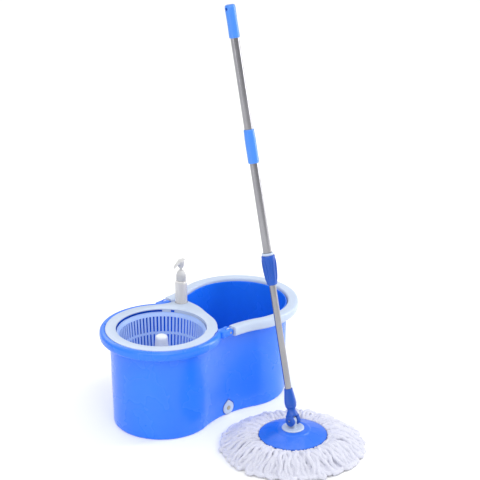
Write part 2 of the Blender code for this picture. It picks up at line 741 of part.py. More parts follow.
def basket_offset_sign(skin):
    """Solidify goes away from the axis and below, whichever way the skin's faces point."""
    face = max(skin.polygons, key=lambda polygon: polygon.center.xy.length)
    outward = face.normal.x * face.center.x + face.normal.y * face.center.y
    return 1.0 if outward > 0 else -1.0


def build_basket_mount(steel, grey):
    base = FLOOR_THICKNESS + TOUCH
    top = BEARING_TOP + 0.0030
    profile = [
        (0.0, top),
        (SPINDLE_RADIUS - 0.0010, top),
        (SPINDLE_RADIUS, top - 0.0015),
        (SPINDLE_RADIUS, BEARING_TOP - BEARING_LENGTH - 0.0010),
        (SPINDLE_RADIUS + 0.0025, BEARING_TOP - BEARING_LENGTH - 0.0010),
        (SPINDLE_RADIUS + 0.0025, base + 0.0200),
        (SPINDLE_RADIUS + 0.0180, base + 0.0050),
        (SPINDLE_RADIUS + 0.0180, base),
        (0.0, base),
    ]
    turned("basket_spindle", profile, steel, location=BASKET_CENTRE)
    low = BEARING_TOP - BEARING_LENGTH
    inner = SPINDLE_RADIUS + RUNNING
    outer = [(inner + 0.0035, BEARING_TOP), (inner + 0.0045, low)]
    sleeve("basket_bearing", outer, [(inner, low), (inner, BEARING_TOP)], grey, location=BASKET_CENTRE)


# ---------------------------------------------------------------- soap bottle and pump
def build_bottle(clear, white, steel):
    place = (BOTTLE_X, BOTTLE_Y, 0)
    radius, wall = BOTTLE_RADIUS, BOTTLE_WALL
    low, shoulder = BOTTLE_FLOOR, BOTTLE_SHOULDER
    outer = [
        (NECK_RADIUS, NECK_TOP),
        (NECK_RADIUS, shoulder),
        (radius - 0.0020, shoulder - 0.0012),
        (radius, shoulder - 0.0045),
        (radius, low + 0.0015),
        (radius - 0.0015, low),
        (0.0, low),
    ]
    inner = [
        (0.0, low + wall),
        (radius - 0.0015 - wall, low + wall),
        (radius - wall, low + wall + 0.0015),
        (radius - wall, shoulder - 0.0055),
        (NECK_RADIUS - wall, shoulder - wall),
        (NECK_RADIUS - wall, NECK_TOP),
    ]
    turned("soap_bottle", inner + outer, clear, location=place)

    base = shoulder + TOUCH * 2
    inside = NECK_RADIUS + TOUCH
    roof = NECK_TOP + TOUCH
    hole = STEM_RADIUS + TOUCH
    outer = [(CAP_RADIUS * 0.55, CAP_TOP), (CAP_RADIUS * 0.86, CAP_TOP - 0.0045),
             (CAP_RADIUS, CAP_TOP - 0.0090), (CAP_RADIUS, base)]
    inner = [(inside, base), (inside, roof), (hole, roof), (hole, CAP_TOP)]
    sleeve("pump_cap", outer, inner, white, location=place)

    head_low = CAP_TOP + PUMP_STROKE + 0.0010
    head_top = head_low + 0.0185
    stem_low = NECK_TOP - 0.0060
    barrel_out = NECK_RADIUS - wall - TOUCH
    barrel_in = STEM_RADIUS + TOUCH + 0.0008
    barrel_low = shoulder - 0.0250
    outer = [(barrel_out, NECK_TOP), (barrel_out, shoulder), (barrel_in + 0.0010, shoulder - 0.0010),
             (barrel_in + 0.0010, barrel_low), (0.0020, barrel_low - 0.0030)]
    inner = [(0.0011, barrel_low - 0.0030), (0.0011, barrel_low), (barrel_in, barrel_low),
             (barrel_in, NECK_TOP)]
    sleeve("pump_barrel", outer, inner, white, location=place, steps=20)
    outer = [(0.0018, barrel_low - 0.0034), (0.0018, low + wall + 0.0040)]
    inner = [(0.0010, low + wall + 0.0040), (0.0010, barrel_low - 0.0034)]
    sleeve("dip_tube", outer, inner, clear, location=place, steps=12)

    spring_low = barrel_low + 0.0004
    spring_top = stem_low - 0.0004
    turns, spring_radius, wire = 5, 0.0026, 0.0003
    curve = bpy.data.curves.new("pump_spring", "CURVE")
    curve.dimensions = "3D"
    curve.bevel_depth = wire
    curve.bevel_resolution = 0
    curve.use_fill_caps = True
    spline = curve.splines.new("POLY")
    count = turns * 8 + 1
    spline.points.add(count - 1)
    for i, point in enumerate(spline.points):
        angle = math.tau * turns * i / (count - 1)
        height = spring_low + wire + (spring_top - spring_low - 2 * wire) * i / (count - 1)
        point.co = (spring_radius * math.cos(angle), spring_radius * math.sin(angle), height, 1)
    coil = bpy.data.objects.new("coil", curve)
    bpy.context.scene.collection.objects.link(coil)
    mesh = evaluated_mesh(coil)
    bpy.data.objects.remove(coil, do_unlink=True)
    bm = bmesh.new()
    bm.from_mesh(mesh)
    bmesh.ops.remove_doubles(bm, verts=bm.verts, dist=0.00001)
    finish(mesh_from(bm, "pump_spring"), "pump_spring", steel, location=place)

    stem = [(0.0, head_low - TOUCH), (STEM_RADIUS, head_low - TOUCH), (STEM_RADIUS, stem_low),
            (0.0, stem_low)]
    turned("pump_stem", stem, white, location=place, steps=20)
    profile = [(0.0, head_top), (0.0060, head_top - 0.0008), (0.0072, head_top - 0.0030),
               (0.0066, head_low + 0.0070), (0.0050, head_low), (0.0, head_low)]
    head = turned("pump_head", profile, white, location=place, steps=20)

    def nozzle(bm):
        rows = []
        for k in range(7):
            t = k / 6
            x = -0.0020 - (PUMP_NOZZLE_REACH - 0.0020) * t
            z = head_top - 0.0048 - 0.0085 * t * t
            size = 0.0040 - 0.0018 * t
            ring = []
            for m in range(10):
                angle = math.tau * m / 10
                ring.append(bm.verts.new((x + 0.5 * size * math.sin(angle) * t, size * math.cos(angle),
                                          z + size * math.sin(angle))))
            rows.append(ring)
        for first, second in zip(rows, rows[1:]):
            for m in range(10):
                n = (m + 1) % 10
                bm.faces.new((first[m], first[n], second[n], second[m]))
        bm.faces.new(rows[0])
        bm.faces.new(rows[-1])

    def thumb_tab(bm):
        box_bm(bm, (0.0060, 0, head_top - 0.0016), (0.0090, 0.0100, 0.0026))

    apply_tools(head, [("UNION", tool("nozzle", nozzle, location=place)),
                       ("UNION", tool("thumb_tab", thumb_tab, location=place))])


# ---------------------------------------------------------------- mop pole
def build_pole(axis, blue, dark, steel, white, rod_steel):
    near, far = EAR_GAP / 2, EAR_GAP / 2 + EAR_THICKNESS
    bm = bmesh.new()
    cylinder_bm(bm, (near + EAR_THICKNESS / 2, 0, 0), EAR_RADIUS, EAR_THICKNESS, (1, 0, 0), 20)
    yoke = finish(mesh_from(bm, "yoke"), "yoke", blue, parent=axis)
    bridge_low, bridge_top = 0.0125, 0.0185
    neck_radius = 0.0090

    def far_ear(bm):
        cylinder_bm(bm, (-near - EAR_THICKNESS / 2, 0, 0), EAR_RADIUS, EAR_THICKNESS, (1, 0, 0), 20)

    def arm(sign):
        def build(bm):
            size = (EAR_THICKNESS - 0.0002, 2 * EAR_RADIUS - 0.0016, bridge_top)
            box_bm(bm, (sign * (near + EAR_THICKNESS / 2), 0, bridge_top / 2), size)
        return build

    def bridge(bm):
        size = (2 * far - 0.0006, 2 * EAR_RADIUS - 0.0020, bridge_top - bridge_low)
        box_bm(bm, (0, 0, (bridge_low + bridge_top) / 2 + 0.0001), size)

    def neck(bm):
        length = SOCKET_START - TOUCH - bridge_low - 0.0010
        cylinder_bm(bm, (0, 0, SOCKET_START - TOUCH - length / 2), neck_radius, length, (0, 0, 1), 20)

    def pin_bore(bm):
        cylinder_bm(bm, (0, 0, 0), YOKE_PIN_RADIUS + TOUCH, 0.0600, (1, 0, 0), 16)

    apply_tools(yoke, [
        ("UNION", tool("arm_near", arm(-1), parent=axis)),
        ("UNION", tool("ear_far", far_ear, parent=axis)),
        ("UNION", tool("arm_far", arm(1), parent=axis)),
        ("UNION", tool("yoke_bridge", bridge, parent=axis)),
        ("UNION", tool("yoke_neck", neck, parent=axis)),
        ("DIFFERENCE", tool("yoke_bore", pin_bore, parent=axis)),
    ])
    bm = bmesh.new()
    cylinder_bm(bm, (0, 0, 0), YOKE_PIN_RADIUS, 2 * far - 0.0004, (1, 0, 0), 16)
    finish(mesh_from(bm, "yoke_pin"), "yoke_pin", steel, parent=axis)

    start, end = SOCKET_START, SOCKET_START + SOCKET_LENGTH
    bore = LOWER_TUBE_RADIUS + TOUCH
    outer = [(bore + 0.0012, end), (bore + 0.0016, end - 0.0030), (SOCKET_RADIUS, start + 0.0120),
             (SOCKET_RADIUS - 0.0006, start + 0.0040), (0.0096, start), (0.0, start)]
    inner = [(0.0, LOWER_TUBE_START - TOUCH), (bore, LOWER_TUBE_START - TOUCH), (bore, end)]
    turned("pole_socket", inner + outer, blue, parent=axis)

    tube("lower_tube", LOWER_TUBE_RADIUS, LOWER_TUBE_WALL, LOWER_TUBE_START, LOWER_TUBE_END, steel, axis)
    build_drive(axis, white, rod_steel)

    tube("middle_tube", POLE_RADIUS, POLE_WALL, COLLAR_START + 0.0050, POLE_JOIN - TOUCH, steel, axis)
    tube("upper_tube", POLE_RADIUS, POLE_WALL, POLE_JOIN, GRIP_START + TUBE_IN_GRIP, steel, axis)
    build_collar(axis, blue, white)

    fit = POLE_RADIUS + TOUCH
    low, high = COUPLING_START, COUPLING_START + COUPLING_LENGTH
    radius = COUPLING_RADIUS
    outer = [(radius - 0.0018, high), (radius - 0.0008, high - 0.0015), (radius, low + 0.0040),
             (radius, low + 0.0010), (radius - 0.0008, low)]
    sleeve("pole_coupling", outer, [(fit, low), (fit, high)], blue, parent=axis)
    build_grip(axis, blue)


def build_drive(axis, white, rod_steel):
    """The spiral drive: a twisted strip in the upper pole turns a slotted nut on the lower tube."""
    end = LOWER_TUBE_END
    inner = LOWER_TUBE_RADIUS + RUNNING
    outside = TUBE_INNER - 2 * RUNNING
    sleeve("guide_bush", [(outside, end), (outside, BUSH_START)], [(inner, BUSH_START), (inner, end)],
           white, parent=axis)
    stop = BUSH_START - TOUCH
    fixed = LOWER_TUBE_RADIUS + 0.0001
    sleeve("stop_ring", [(outside, stop), (outside, stop - 0.0030)], [(fixed, stop - 0.0030), (fixed, stop)],
           rod_steel, parent=axis)
    fixed_low = COLLAR_START + 0.0055
    fixed_top = stop - 0.0030 - 0.0006
    sleeve("end_bush", [(outside, fixed_top), (outside, fixed_low)], [(inner, fixed_low), (inner, fixed_top)],
           white, parent=axis)

    spigot = LOWER_TUBE_RADIUS - LOWER_TUBE_WALL - TOUCH
    low = end + TOUCH
    top = low + NUT_THICKNESS
    profile = [(0.0, top), (outside, top), (outside, low), (spigot, low), (spigot, low - 0.0001),
               (0.0, low - 0.0001)]
    nut = turned("drive_nut", profile, rod_steel, parent=axis)
    angle = strip_angle((low + top) / 2)
    spread = (DRIVE_ROD_WIDTH / 2) * math.sin(math.pi * NUT_THICKNESS / DRIVE_LEAD)
    slot_width = DRIVE_ROD_THICKNESS + 2 * (spread + 0.0004)
    slot_length = DRIVE_ROD_WIDTH + 0.0012

    def slot(bm):
        matrix = Matrix.Rotation(angle, 4, "Z") @ Matrix.Diagonal((slot_length, slot_width, 0.0200, 1.0))
        bmesh.ops.create_cube(bm, size=1.0, matrix=Matrix.Translation((0, 0, low)) @ matrix)

    apply_tools(nut, [("DIFFERENCE", tool("nut_slot", slot, parent=axis))])

    loops = []
    count = math.ceil((ROD_END - ROD_START) / (DRIVE_LEAD / 14))
    for i in range(count + 1):
        height = ROD_START + (ROD_END - ROD_START) * i / count
        turn = Matrix.Rotation(strip_angle(height), 3, "Z")
        loop = []
        for x, y in ((1, 1), (-1, 1), (-1, -1), (1, -1)):
            corner = turn @ Vector((x * DRIVE_ROD_WIDTH / 2, y * DRIVE_ROD_THICKNESS / 2, 0))
            loop.append((corner.x, corner.y, height))
        loops.append(loop)
    finish(loft_mesh("drive_rod", loops), "drive_rod", rod_steel, parent=axis)

    low = ROD_END + TOUCH
    radius = TUBE_INNER - TOUCH
    profile = [(0.0, low + 0.0120), (radius, low + 0.0120), (radius, low), (0.0, low)]
    turned("rod_anchor", profile, white, parent=axis)


def strip_angle(height):
    return math.tau * height / DRIVE_LEAD


def build_collar(axis, blue, white):
    low, high = COLLAR_START, COLLAR_START + COLLAR_LENGTH
    fit = POLE_RADIUS + RUNNING
    throat = LOWER_TUBE_RADIUS + TOUCH
    radius = COLLAR_RADIUS
    outer = [(radius - 0.0014, high), (radius - 0.0002, high - 0.0018), (radius, high - 0.0060),
             (radius - 0.0012, low + 0.0320), (radius - 0.0030, low + 0.0060),
             (radius - 0.0038, low + 0.0016), (radius - 0.0050, low)]
    inner = [(throat, low), (throat, low + 0.0040), (fit, low + 0.0040), (fit, high)]
    sleeve("lock_collar", outer, inner, blue, parent=axis)
    fixed = POLE_RADIUS + TOUCH
    outer = [(fixed + 0.0024, high + 0.0050), (fixed + 0.0032, high + 0.0040), (fixed + 0.0032, high + TOUCH)]
    sleeve("collar_ring", outer, [(fixed, high + TOUCH), (fixed, high + 0.0050)], white, parent=axis)


def build_grip(axis, blue):
    low, high = GRIP_START, GRIP_START + GRIP_LENGTH
    radius = GRIP_RADIUS
    fit = POLE_RADIUS + TOUCH
    roof = low + TUBE_IN_GRIP + TOUCH
    profile = [(0.0, high), (radius - 0.0035, high), (radius - 0.0008, high - 0.0020),
               (radius, high - 0.0060), (radius, low + 0.0015), (radius - 0.0008, low), (fit, low), (fit, roof), (0.0, roof)]
    grip = turned("top_grip", profile, blue, parent=axis)

    def hanging_hole(bm):
        cylinder_bm(bm, (0, 0, high - 0.0085), HANGING_HOLE_RADIUS, 0.0600, (1, 0, 0), 20)

    apply_tools(grip, [("DIFFERENCE", tool("hanging_hole", hanging_hole, parent=axis))])


# ---------------------------------------------------------------- mop head
def build_head(pin, blue, white, steel, cotton):
    plate_top = DISC_TOP_Z + 0.0028 - PIN_HEIGHT
    plate_low = DISC_TOP_Z + TOUCH - PIN_HEIGHT
    post = EAR_GAP - 0.0010
    post_radius = EAR_RADIUS - 0.0032
    profile = [(0.0, plate_top), (HUB_PLATE_RADIUS - 0.0008, plate_top),
               (HUB_PLATE_RADIUS, plate_top - 0.0008), (HUB_PLATE_RADIUS, plate_low), (0.0, plate_low)]
    hub = turned("head_hub", profile, white, parent=pin)

    def post_bar(bm):
        height = -plate_low - 0.0004
        box_bm(bm, (0, 0, -height / 2), (post, 2 * post_radius - 0.0004, height))

    def post_eye(bm):
        cylinder_bm(bm, (0, 0, 0), post_radius, post + 0.0002, (1, 0, 0), 24)

    def bore(bm):
        cylinder_bm(bm, (0, 0, 0), YOKE_PIN_RADIUS + RUNNING, 0.0300, (1, 0, 0), 16)

    def screw_hole(bm):
        cylinder_bm(bm, (0, 0, plate_low), HEAD_SCREW_RADIUS + TOUCH, 2 * 0.0060, (0, 0, 1), 16)

    apply_tools(hub, [
        ("UNION", tool("post_bar", post_bar, parent=pin)),
        ("UNION", tool("post_eye", post_eye, parent=pin)),
        ("DIFFERENCE", tool("post_bore", bore, parent=pin)),
        ("DIFFERENCE", tool("hub_screw_hole", screw_hole, parent=pin)),
    ])

    top = DISC_TOP_Z - PIN_HEIGHT
    edge_top = DISC_RIM_HEIGHT - PIN_HEIGHT
    thick = DISC_THICKNESS
    columns = 2 * DISC_TEETH
    hole = HEAD_SCREW_RADIUS + TOUCH

    def ring(radius, height, tooth=0.0):
        loop = []
        for k in range(columns):
            angle = math.tau * k / columns
            reach = radius - (tooth if k % 2 else 0.0)
            loop.append((reach * math.cos(angle), reach * math.sin(angle), height))
        return loop

    loops = [
        ring(hole, top),
        ring(DISC_BOSS_RADIUS - 0.0010, top),
        ring(DISC_BOSS_RADIUS, top - 0.0015),
        ring(DISC_RADIUS - 0.0040, edge_top + 0.0010),
        ring(DISC_RADIUS, edge_top, DISC_TOOTH_DEPTH),
        ring(DISC_RADIUS, edge_top - thick, DISC_TOOTH_DEPTH),
        ring(DISC_RADIUS - 0.0050, edge_top - thick + 0.0004),
        ring(DISC_BOSS_RADIUS - 0.0010, top - thick - 0.0010),
        ring(hole, top - thick - 0.0010),
    ]
    finish(loft_mesh("mop_disc", loops, close_loops=True), "mop_disc", blue, parent=pin)

    under = top - thick - 0.0010 - TOUCH
    profile = [(0.0, plate_low + 0.0050), (HEAD_SCREW_RADIUS, plate_low + 0.0050),
               (HEAD_SCREW_RADIUS, under), (0.0075, under), (0.0075, under - 0.0012),
               (0.0045, under - 0.0030), (0.0, under - 0.0030)]
    turned("head_screw", profile, steel, parent=pin, steps=20)

    ring_top = DISC_EDGE_BOTTOM - TOUCH - PIN_HEIGHT
    ring_low = ring_top - BACKING_THICKNESS
    outside, inside = DISC_RADIUS - 0.0060, DISC_BOSS_RADIUS + 0.0060
    outer = [(outside - 0.0008, ring_top), (outside, ring_top - 0.0010), (outside, ring_low)]
    sleeve("refill_ring", outer, [(inside, ring_low), (inside, ring_top)], white, parent=pin, steps=28)

    floor = -PIN_HEIGHT
    strands = STRAND_RADIUS
    high = STRAND_HEIGHT - PIN_HEIGHT
    under = ring_low - TOUCH
    profile = [
        (0.0, under - 0.0040),
        (inside - 0.0040, under - 0.0030),
        (inside, under),
        (outside + 0.0010, under),
        (DISC_RADIUS - 0.0025, high - 0.0020),
        (strands * 0.62, high),
        (strands * 0.82, high - 0.0060),
        (strands * 0.95, high - 0.0140),
        (strands, floor + 0.0090),
        (strands * 0.985, floor + 0.0030),
        (strands * 0.95, floor),
        (0.0, floor),
    ]
    turned("mop_strands", profile, cotton, parent=pin, steps=32)


# ---------------------------------------------------------------- the whole object
OUTLINE = bucket_outline()


def main():
    blue = new_material("bucket_blue", (0.058, 0.250, 0.985), 0.34)
    pale = new_material("deck_white", (0.690, 0.740, 0.860), 0.38)
    basket_tint = new_material("basket_white", (0.600, 0.680, 0.880), 0.36)
    handle_white = new_material("handle_white", (0.620, 0.680, 0.830), 0.40)
    fitting_blue = new_material("fitting_blue", (0.030, 0.150, 0.780), 0.42)
    disc_blue = new_material("disc_blue", (0.095, 0.290, 0.930), 0.40)
    clear = new_material("bottle_clear", (0.560, 0.570, 0.580), 0.18)
    pump_white = new_material("pump_white", (0.640, 0.640, 0.640), 0.36)
    steel = new_material("tube_steel", (0.560, 0.560, 0.580), 0.24, 1.0)
    rod_steel = new_material("rod_steel", (0.420, 0.420, 0.430), 0.35, 1.0)
    grey = new_material("bearing_grey", (0.300, 0.310, 0.330), 0.50)
    rubber = new_material("button_rubber", (0.420, 0.400, 0.340), 0.70)
    cotton = new_material("strand_white", (0.720, 0.740, 0.870), 0.95)

    build_bucket(blue)
    build_drain(pale, rubber)
    build_handle(handle_white, steel)
    build_deck(pale)
    build_basket(basket_tint)
    build_basket_mount(steel, grey)
    build_bottle(clear, pump_white, steel)

    pole = new_empty("pole_axis", (MOP_X, MOP_Y, PIN_HEIGHT), (-POLE_LEAN, 0, 0))
    build_pole(pole, fitting_blue, disc_blue, steel, pale, rod_steel)
    head = new_empty("head_axis", (MOP_X, MOP_Y, PIN_HEIGHT))
    build_head(head, disc_blue, pale, steel, cotton)


clear_scene()
PARTS = new_collection("spin_mop")
CUTTERS = new_collection("cutters")
main()
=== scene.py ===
"""Spin mop and its twin-lobe bucket: the visible pieces and their finishes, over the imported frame.

Everything is in metres. The bucket's underside is centred on the origin, +X runs from the basket
lobe to the water lobe, -Y is the side with the drain plug and +Z is up.
"""
import json
import math
import random

import bmesh
import bpy
from bpy.props import FloatProperty, FloatVectorProperty, IntProperty, PointerProperty
from bpy.types import Operator, Panel, PropertyGroup
from mathutils import Matrix, Vector


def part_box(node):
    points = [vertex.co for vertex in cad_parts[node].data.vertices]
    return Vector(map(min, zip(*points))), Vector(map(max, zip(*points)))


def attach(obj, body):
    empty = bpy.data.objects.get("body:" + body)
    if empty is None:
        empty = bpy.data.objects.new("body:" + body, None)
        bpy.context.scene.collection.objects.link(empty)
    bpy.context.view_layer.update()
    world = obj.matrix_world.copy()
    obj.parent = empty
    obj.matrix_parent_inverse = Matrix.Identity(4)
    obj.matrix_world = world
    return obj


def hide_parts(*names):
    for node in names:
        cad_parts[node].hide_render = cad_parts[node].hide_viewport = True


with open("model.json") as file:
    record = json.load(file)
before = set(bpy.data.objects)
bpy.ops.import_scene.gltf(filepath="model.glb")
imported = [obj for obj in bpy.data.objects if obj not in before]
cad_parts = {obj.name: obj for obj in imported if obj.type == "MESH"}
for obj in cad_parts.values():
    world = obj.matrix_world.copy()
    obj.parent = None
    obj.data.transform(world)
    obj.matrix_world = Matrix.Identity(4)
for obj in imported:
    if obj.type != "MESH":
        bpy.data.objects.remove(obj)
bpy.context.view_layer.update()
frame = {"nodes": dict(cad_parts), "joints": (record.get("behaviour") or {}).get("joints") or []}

bl_info = {
    "name": "Spin Mop Set",
    "version": (1, 0, 0),
    "blender": (4, 5, 0),
    "location": "View3D > Sidebar > Spin Mop",
    "description": "Makes the pieces and finishes of a spin mop and its twin-lobe bucket",
    "category": "Object",
}


# ------------------------------------------------------------ places read from the frame
def joint(name):
    return next(item for item in frame["joints"] if item["name"] == name)


PIN = Vector(joint("yoke_tilt")["pos_m"])
POLE_DIRECTION = -Vector(joint("pole_press")["axis"])
POLE_LEAN = math.atan2(POLE_DIRECTION.y, POLE_DIRECTION.z)
ON_POLE = Matrix.Translation(PIN) @ Matrix.Rotation(-POLE_LEAN, 4, "X")
PIVOT = Vector(joint("handle_lift")["pos_m"])
DECK_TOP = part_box("splash_deck")[1].z
BASKET_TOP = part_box("spin_basket")[1].z
BOTTLE_LOW, BOTTLE_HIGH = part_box("soap_bottle")
PLUG_LOW, PLUG_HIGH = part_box("drain_plug")

# The bucket's outline and sections, as they are in the solids
HALF = 0.1122                  # from the middle to a lobe's centre
LOBE_RADIUS = 0.1130
WAIST = 0.0925
TAPER = 0.0048
WALL = 0.0030
FLOOR = 0.0040
RIM_TOP = 0.2196
RIM_DEPTH = 0.0250
SEAT = RIM_TOP - 0.0034
DECK_RADIUS = 0.1222
DECK_OPENING = 0.0988
WELL_RADIUS = 0.0153
BOTTLE_AT = (BOTTLE_LOW + BOTTLE_HIGH) / 2
HANDLE_HEIGHT = 0.0218
HANDLE_WIDTH = 0.0236
HANDLE_OFFSET = 0.0136
KNUCKLE = 0.0090
PIVOT_Y = WAIST + HANDLE_OFFSET - 0.0015     # the middle of each tongue, from the bucket's middle
DECK_GAP = 0.0003              # under the deck, on its seat
BASKET_DEPTH = 0.0930
PIN_HOLE = 0.0028              # radius of a hole that a pin or a screw passes

UPRIGHT, ALONG, ACROSS = (0, 0, 1), (1, 0, 0), (0, 1, 0)
ON_AXIS = 1e-7                 # nearer the axis than this, a turned profile closes in a point


# ------------------------------------------------------------ sizes and colours a user may change
def count_setting(name, description, value, least):
    return IntProperty(name=name, description=description, default=value, min=least)


def length_setting(name, description, value, least):
    return FloatProperty(name=name, description=description, default=value, min=least, unit="LENGTH",
                         subtype="DISTANCE")


class SpinMopSizes(PropertyGroup):
    slots: count_setting("Basket slots", "Slots round the basket in each tier", 72, 24)
    flutes: count_setting("Collar flutes", "Grip flutes round the lock collar", 11, 6)
    cap_ribs: count_setting("Cap ribs", "Grip ribs round the pump's cap", 24, 12)
    teeth: count_setting("Disc teeth", "Teeth round the mop disc's edge", 60, 24)
    disc_ribs: count_setting("Disc ribs", "Shallow ribs on top of the mop disc", 12, 4)
    strands: count_setting("Strands", "Looped strands in each layer of the refill", 76, 20)
    strand_radius: length_setting("Strand radius", "Half the thickness of one strand", 0.0048, 0.001)
    pile: length_setting("Pile depth", "How far the tufts stand out of a strand", 0.0032, 0.0)


def colour(name, description, value):
    return FloatVectorProperty(name=name, description=description, default=value, size=3, min=0.0, max=1.0,
                               subtype="COLOR")


class SpinMopColours(PropertyGroup):
    bucket: colour("Bucket", "Gloss blue of the bucket", (0.012, 0.175, 0.900))
    fittings: colour("Fittings", "Deeper blue of the collar, socket and yoke", (0.005, 0.078, 0.450))
    grip: colour("Grip", "Lighter blue of the coupling and the top grip", (0.050, 0.230, 0.780))
    disc: colour("Disc", "Blue of the mop disc", (0.012, 0.140, 0.740))
    deck: colour("Deck", "Cool white of the deck, the handle and the plug", (0.480, 0.565, 0.710))
    basket: colour("Basket", "Bluish white of the spin basket", (0.400, 0.550, 0.900))
    # painted light: the hub's paler white stands for the light that falls on the dome in the basket's middle
    hub: colour("Basket hub", "Paler white of the hub in the basket's middle", (0.700, 0.735, 0.800))
    pump: colour("Pump", "White of the pump and its cap", (0.560, 0.560, 0.565))
    bottle: colour("Bottle", "Milky clear plastic of the soap bottle", (0.960, 0.950, 0.945))
    steel: colour("Tube", "Polished tube", (0.340, 0.338, 0.365))
    strands: colour("Strands", "White microfibre of the strands", (0.665, 0.675, 0.780))
    button: colour("Drain button", "Greyish yellow rubber in the drain plug", (0.480, 0.430, 0.300))


# ------------------------------------------------------------ shared effects
def node(tree, kind, **settings):
    made = tree.nodes.new(kind)
    for name, value in settings.items():
        setattr(made, name, value)
    return made


def group_with(name, inputs, outputs):
    """A shader node group with float or vector inputs; the defaults give each socket's kind."""
    tree = bpy.data.node_groups.new(name, "ShaderNodeTree")
    for label, value in inputs:
        kind = "NodeSocketVector" if isinstance(value, tuple) else "NodeSocketFloat"
        made = tree.interface.new_socket(label, in_out="INPUT", socket_type=kind)
        made.default_value = value
    for label in outputs:
        tree.interface.new_socket(label, in_out="OUTPUT", socket_type="NodeSocketFloat")
    return tree, node(tree, "NodeGroupInput"), node(tree, "NodeGroupOutput")


def noise_at(tree, vector, scale, detail=3.0, roughness=0.55):
    made = node(tree, "ShaderNodeTexNoise")
    made.inputs["Detail"].default_value = detail
    made.inputs["Roughness"].default_value = roughness
    tree.links.new(vector, made.inputs["Vector"])
    if isinstance(scale, (int, float)):
        made.inputs["Scale"].default_value = scale
    else:
        tree.links.new(scale, made.inputs["Scale"])
    return made.outputs["Fac"]


def stretch(tree, value, low, high, to_low=0.0, to_high=1.0):
    made = node(tree, "ShaderNodeMapRange", interpolation_type="SMOOTHSTEP")
    for label, number in (("From Min", low), ("From Max", high), ("To Min", to_low), ("To Max", to_high)):
        made.inputs[label].default_value = number
    tree.links.new(value, made.inputs["Value"])
    return made.outputs["Result"]


def math_node(tree, operation, first, second):
    made = node(tree, "ShaderNodeMath", operation=operation)
    for socket, value in zip(made.inputs, (first, second)):
        if isinstance(value, (int, float)):
            socket.default_value = value
        else:
            tree.links.new(value, socket)
    return made.outputs[0]


def moulded_skin_group():
    """Orange peel, flow marks and fine pits of moulded plastic."""
    tree, given, out = group_with("Moulded skin", [("Vector", (0.0, 0.0, 0.0)), ("Peel scale", 420.0),
                                                   ("Flow scale", 9.0)], ["Height", "Flow"])
    peel = noise_at(tree, given.outputs["Vector"], given.outputs["Peel scale"], 2.0)
    flow = noise_at(tree, given.outputs["Vector"], given.outputs["Flow scale"], 3.0, 0.6)
    pits = stretch(tree, noise_at(tree, given.outputs["Vector"], 900.0, 1.0), 0.66, 0.74)
    height = math_node(tree, "SUBTRACT", peel, math_node(tree, "MULTIPLY", pits, 0.3))
    tree.links.new(height, out.inputs["Height"])
    tree.links.new(stretch(tree, flow, 0.32, 0.68), out.inputs["Flow"])
    return tree


def rubbed_marks_group():
    """Fine scratches in two directions and a few dull scuffs from handling."""
    tree, given, out = group_with("Rubbed marks", [("Vector", (0.0, 0.0, 0.0)), ("Scratch scale", 30.0),
                                                   ("Scuff scale", 14.0)], ["Scratches", "Scuffs"])
    found = []
    for turn in ((0.0, 0.3, 0.9), (0.5, 0.0, -0.7)):
        mapping = node(tree, "ShaderNodeMapping")
        mapping.inputs["Rotation"].default_value = turn
        mapping.inputs["Scale"].default_value = (1.0, 22.0, 9.0)
        tree.links.new(given.outputs["Vector"], mapping.inputs["Vector"])
        lines = noise_at(tree, mapping.outputs[0], given.outputs["Scratch scale"], 1.0)
        found.append(stretch(tree, lines, 0.70, 0.76))
    patches = stretch(tree, noise_at(tree, given.outputs["Vector"], 6.0, 2.0), 0.48, 0.62)
    scratches = math_node(tree, "MULTIPLY", math_node(tree, "MAXIMUM", *found), patches)
    dull = noise_at(tree, given.outputs["Vector"], given.outputs["Scuff scale"], 5.0, 0.7)
    tree.links.new(scratches, out.inputs["Scratches"])
    tree.links.new(stretch(tree, dull, 0.60, 0.74), out.inputs["Scuffs"])
    return tree


def settled_dust_group():
    """A thin film that settles on faces that look up, in uneven drifts."""
    tree, given, out = group_with("Settled dust", [("Vector", (0.0, 0.0, 0.0)), ("Drift scale", 24.0)],
                                  ["Dust"])
    normal = node(tree, "ShaderNodeNewGeometry").outputs["Normal"]
    parts = node(tree, "ShaderNodeSeparateXYZ")
    tree.links.new(normal, parts.inputs[0])
    upward = stretch(tree, parts.outputs["Z"], 0.35, 0.98)
    drift = noise_at(tree, given.outputs["Vector"], given.outputs["Drift scale"], 4.0, 0.65)
    film = math_node(tree, "MULTIPLY", upward, stretch(tree, drift, 0.4, 0.7))
    tree.links.new(film, out.inputs["Dust"])
    return tree


def place_group(tree, group, vector, **values):
    made = node(tree, "ShaderNodeGroup", node_tree=group)
    tree.links.new(vector, made.inputs["Vector"])
    for name, value in values.items():
        made.inputs[name.replace("_", " ").capitalize()].default_value = value
    return made.outputs


def new_material(name):
    made = bpy.data.materials.new(name)
    made.use_nodes = True
    tree = made.node_tree
    return made, tree, tree.nodes["Principled BSDF"], node(tree, "ShaderNodeTexCoord").outputs["Object"]


def mixed(tree, factor, first, second):
    """Two colours mixed by a mask; a colour is a socket or three numbers."""
    made = node(tree, "ShaderNodeMix", data_type="RGBA")
    tree.links.new(factor, made.inputs["Factor"])
    for socket, value in ((made.inputs[6], first), (made.inputs[7], second)):
        if isinstance(value, bpy.types.NodeSocket):
            tree.links.new(value, socket)
        else:
            socket.default_value = (*value, 1.0)
    return made.outputs[2]


def shade(base, factor):
    return tuple(min(1.0, channel * factor) for channel in base)


def bump_into(tree, shader, height, strength, distance):
    made = node(tree, "ShaderNodeBump")
    made.inputs["Strength"].default_value = strength
    made.inputs["Distance"].default_value = distance
    tree.links.new(height, made.inputs["Height"])
    tree.links.new(made.outputs["Normal"], shader.inputs["Normal"])


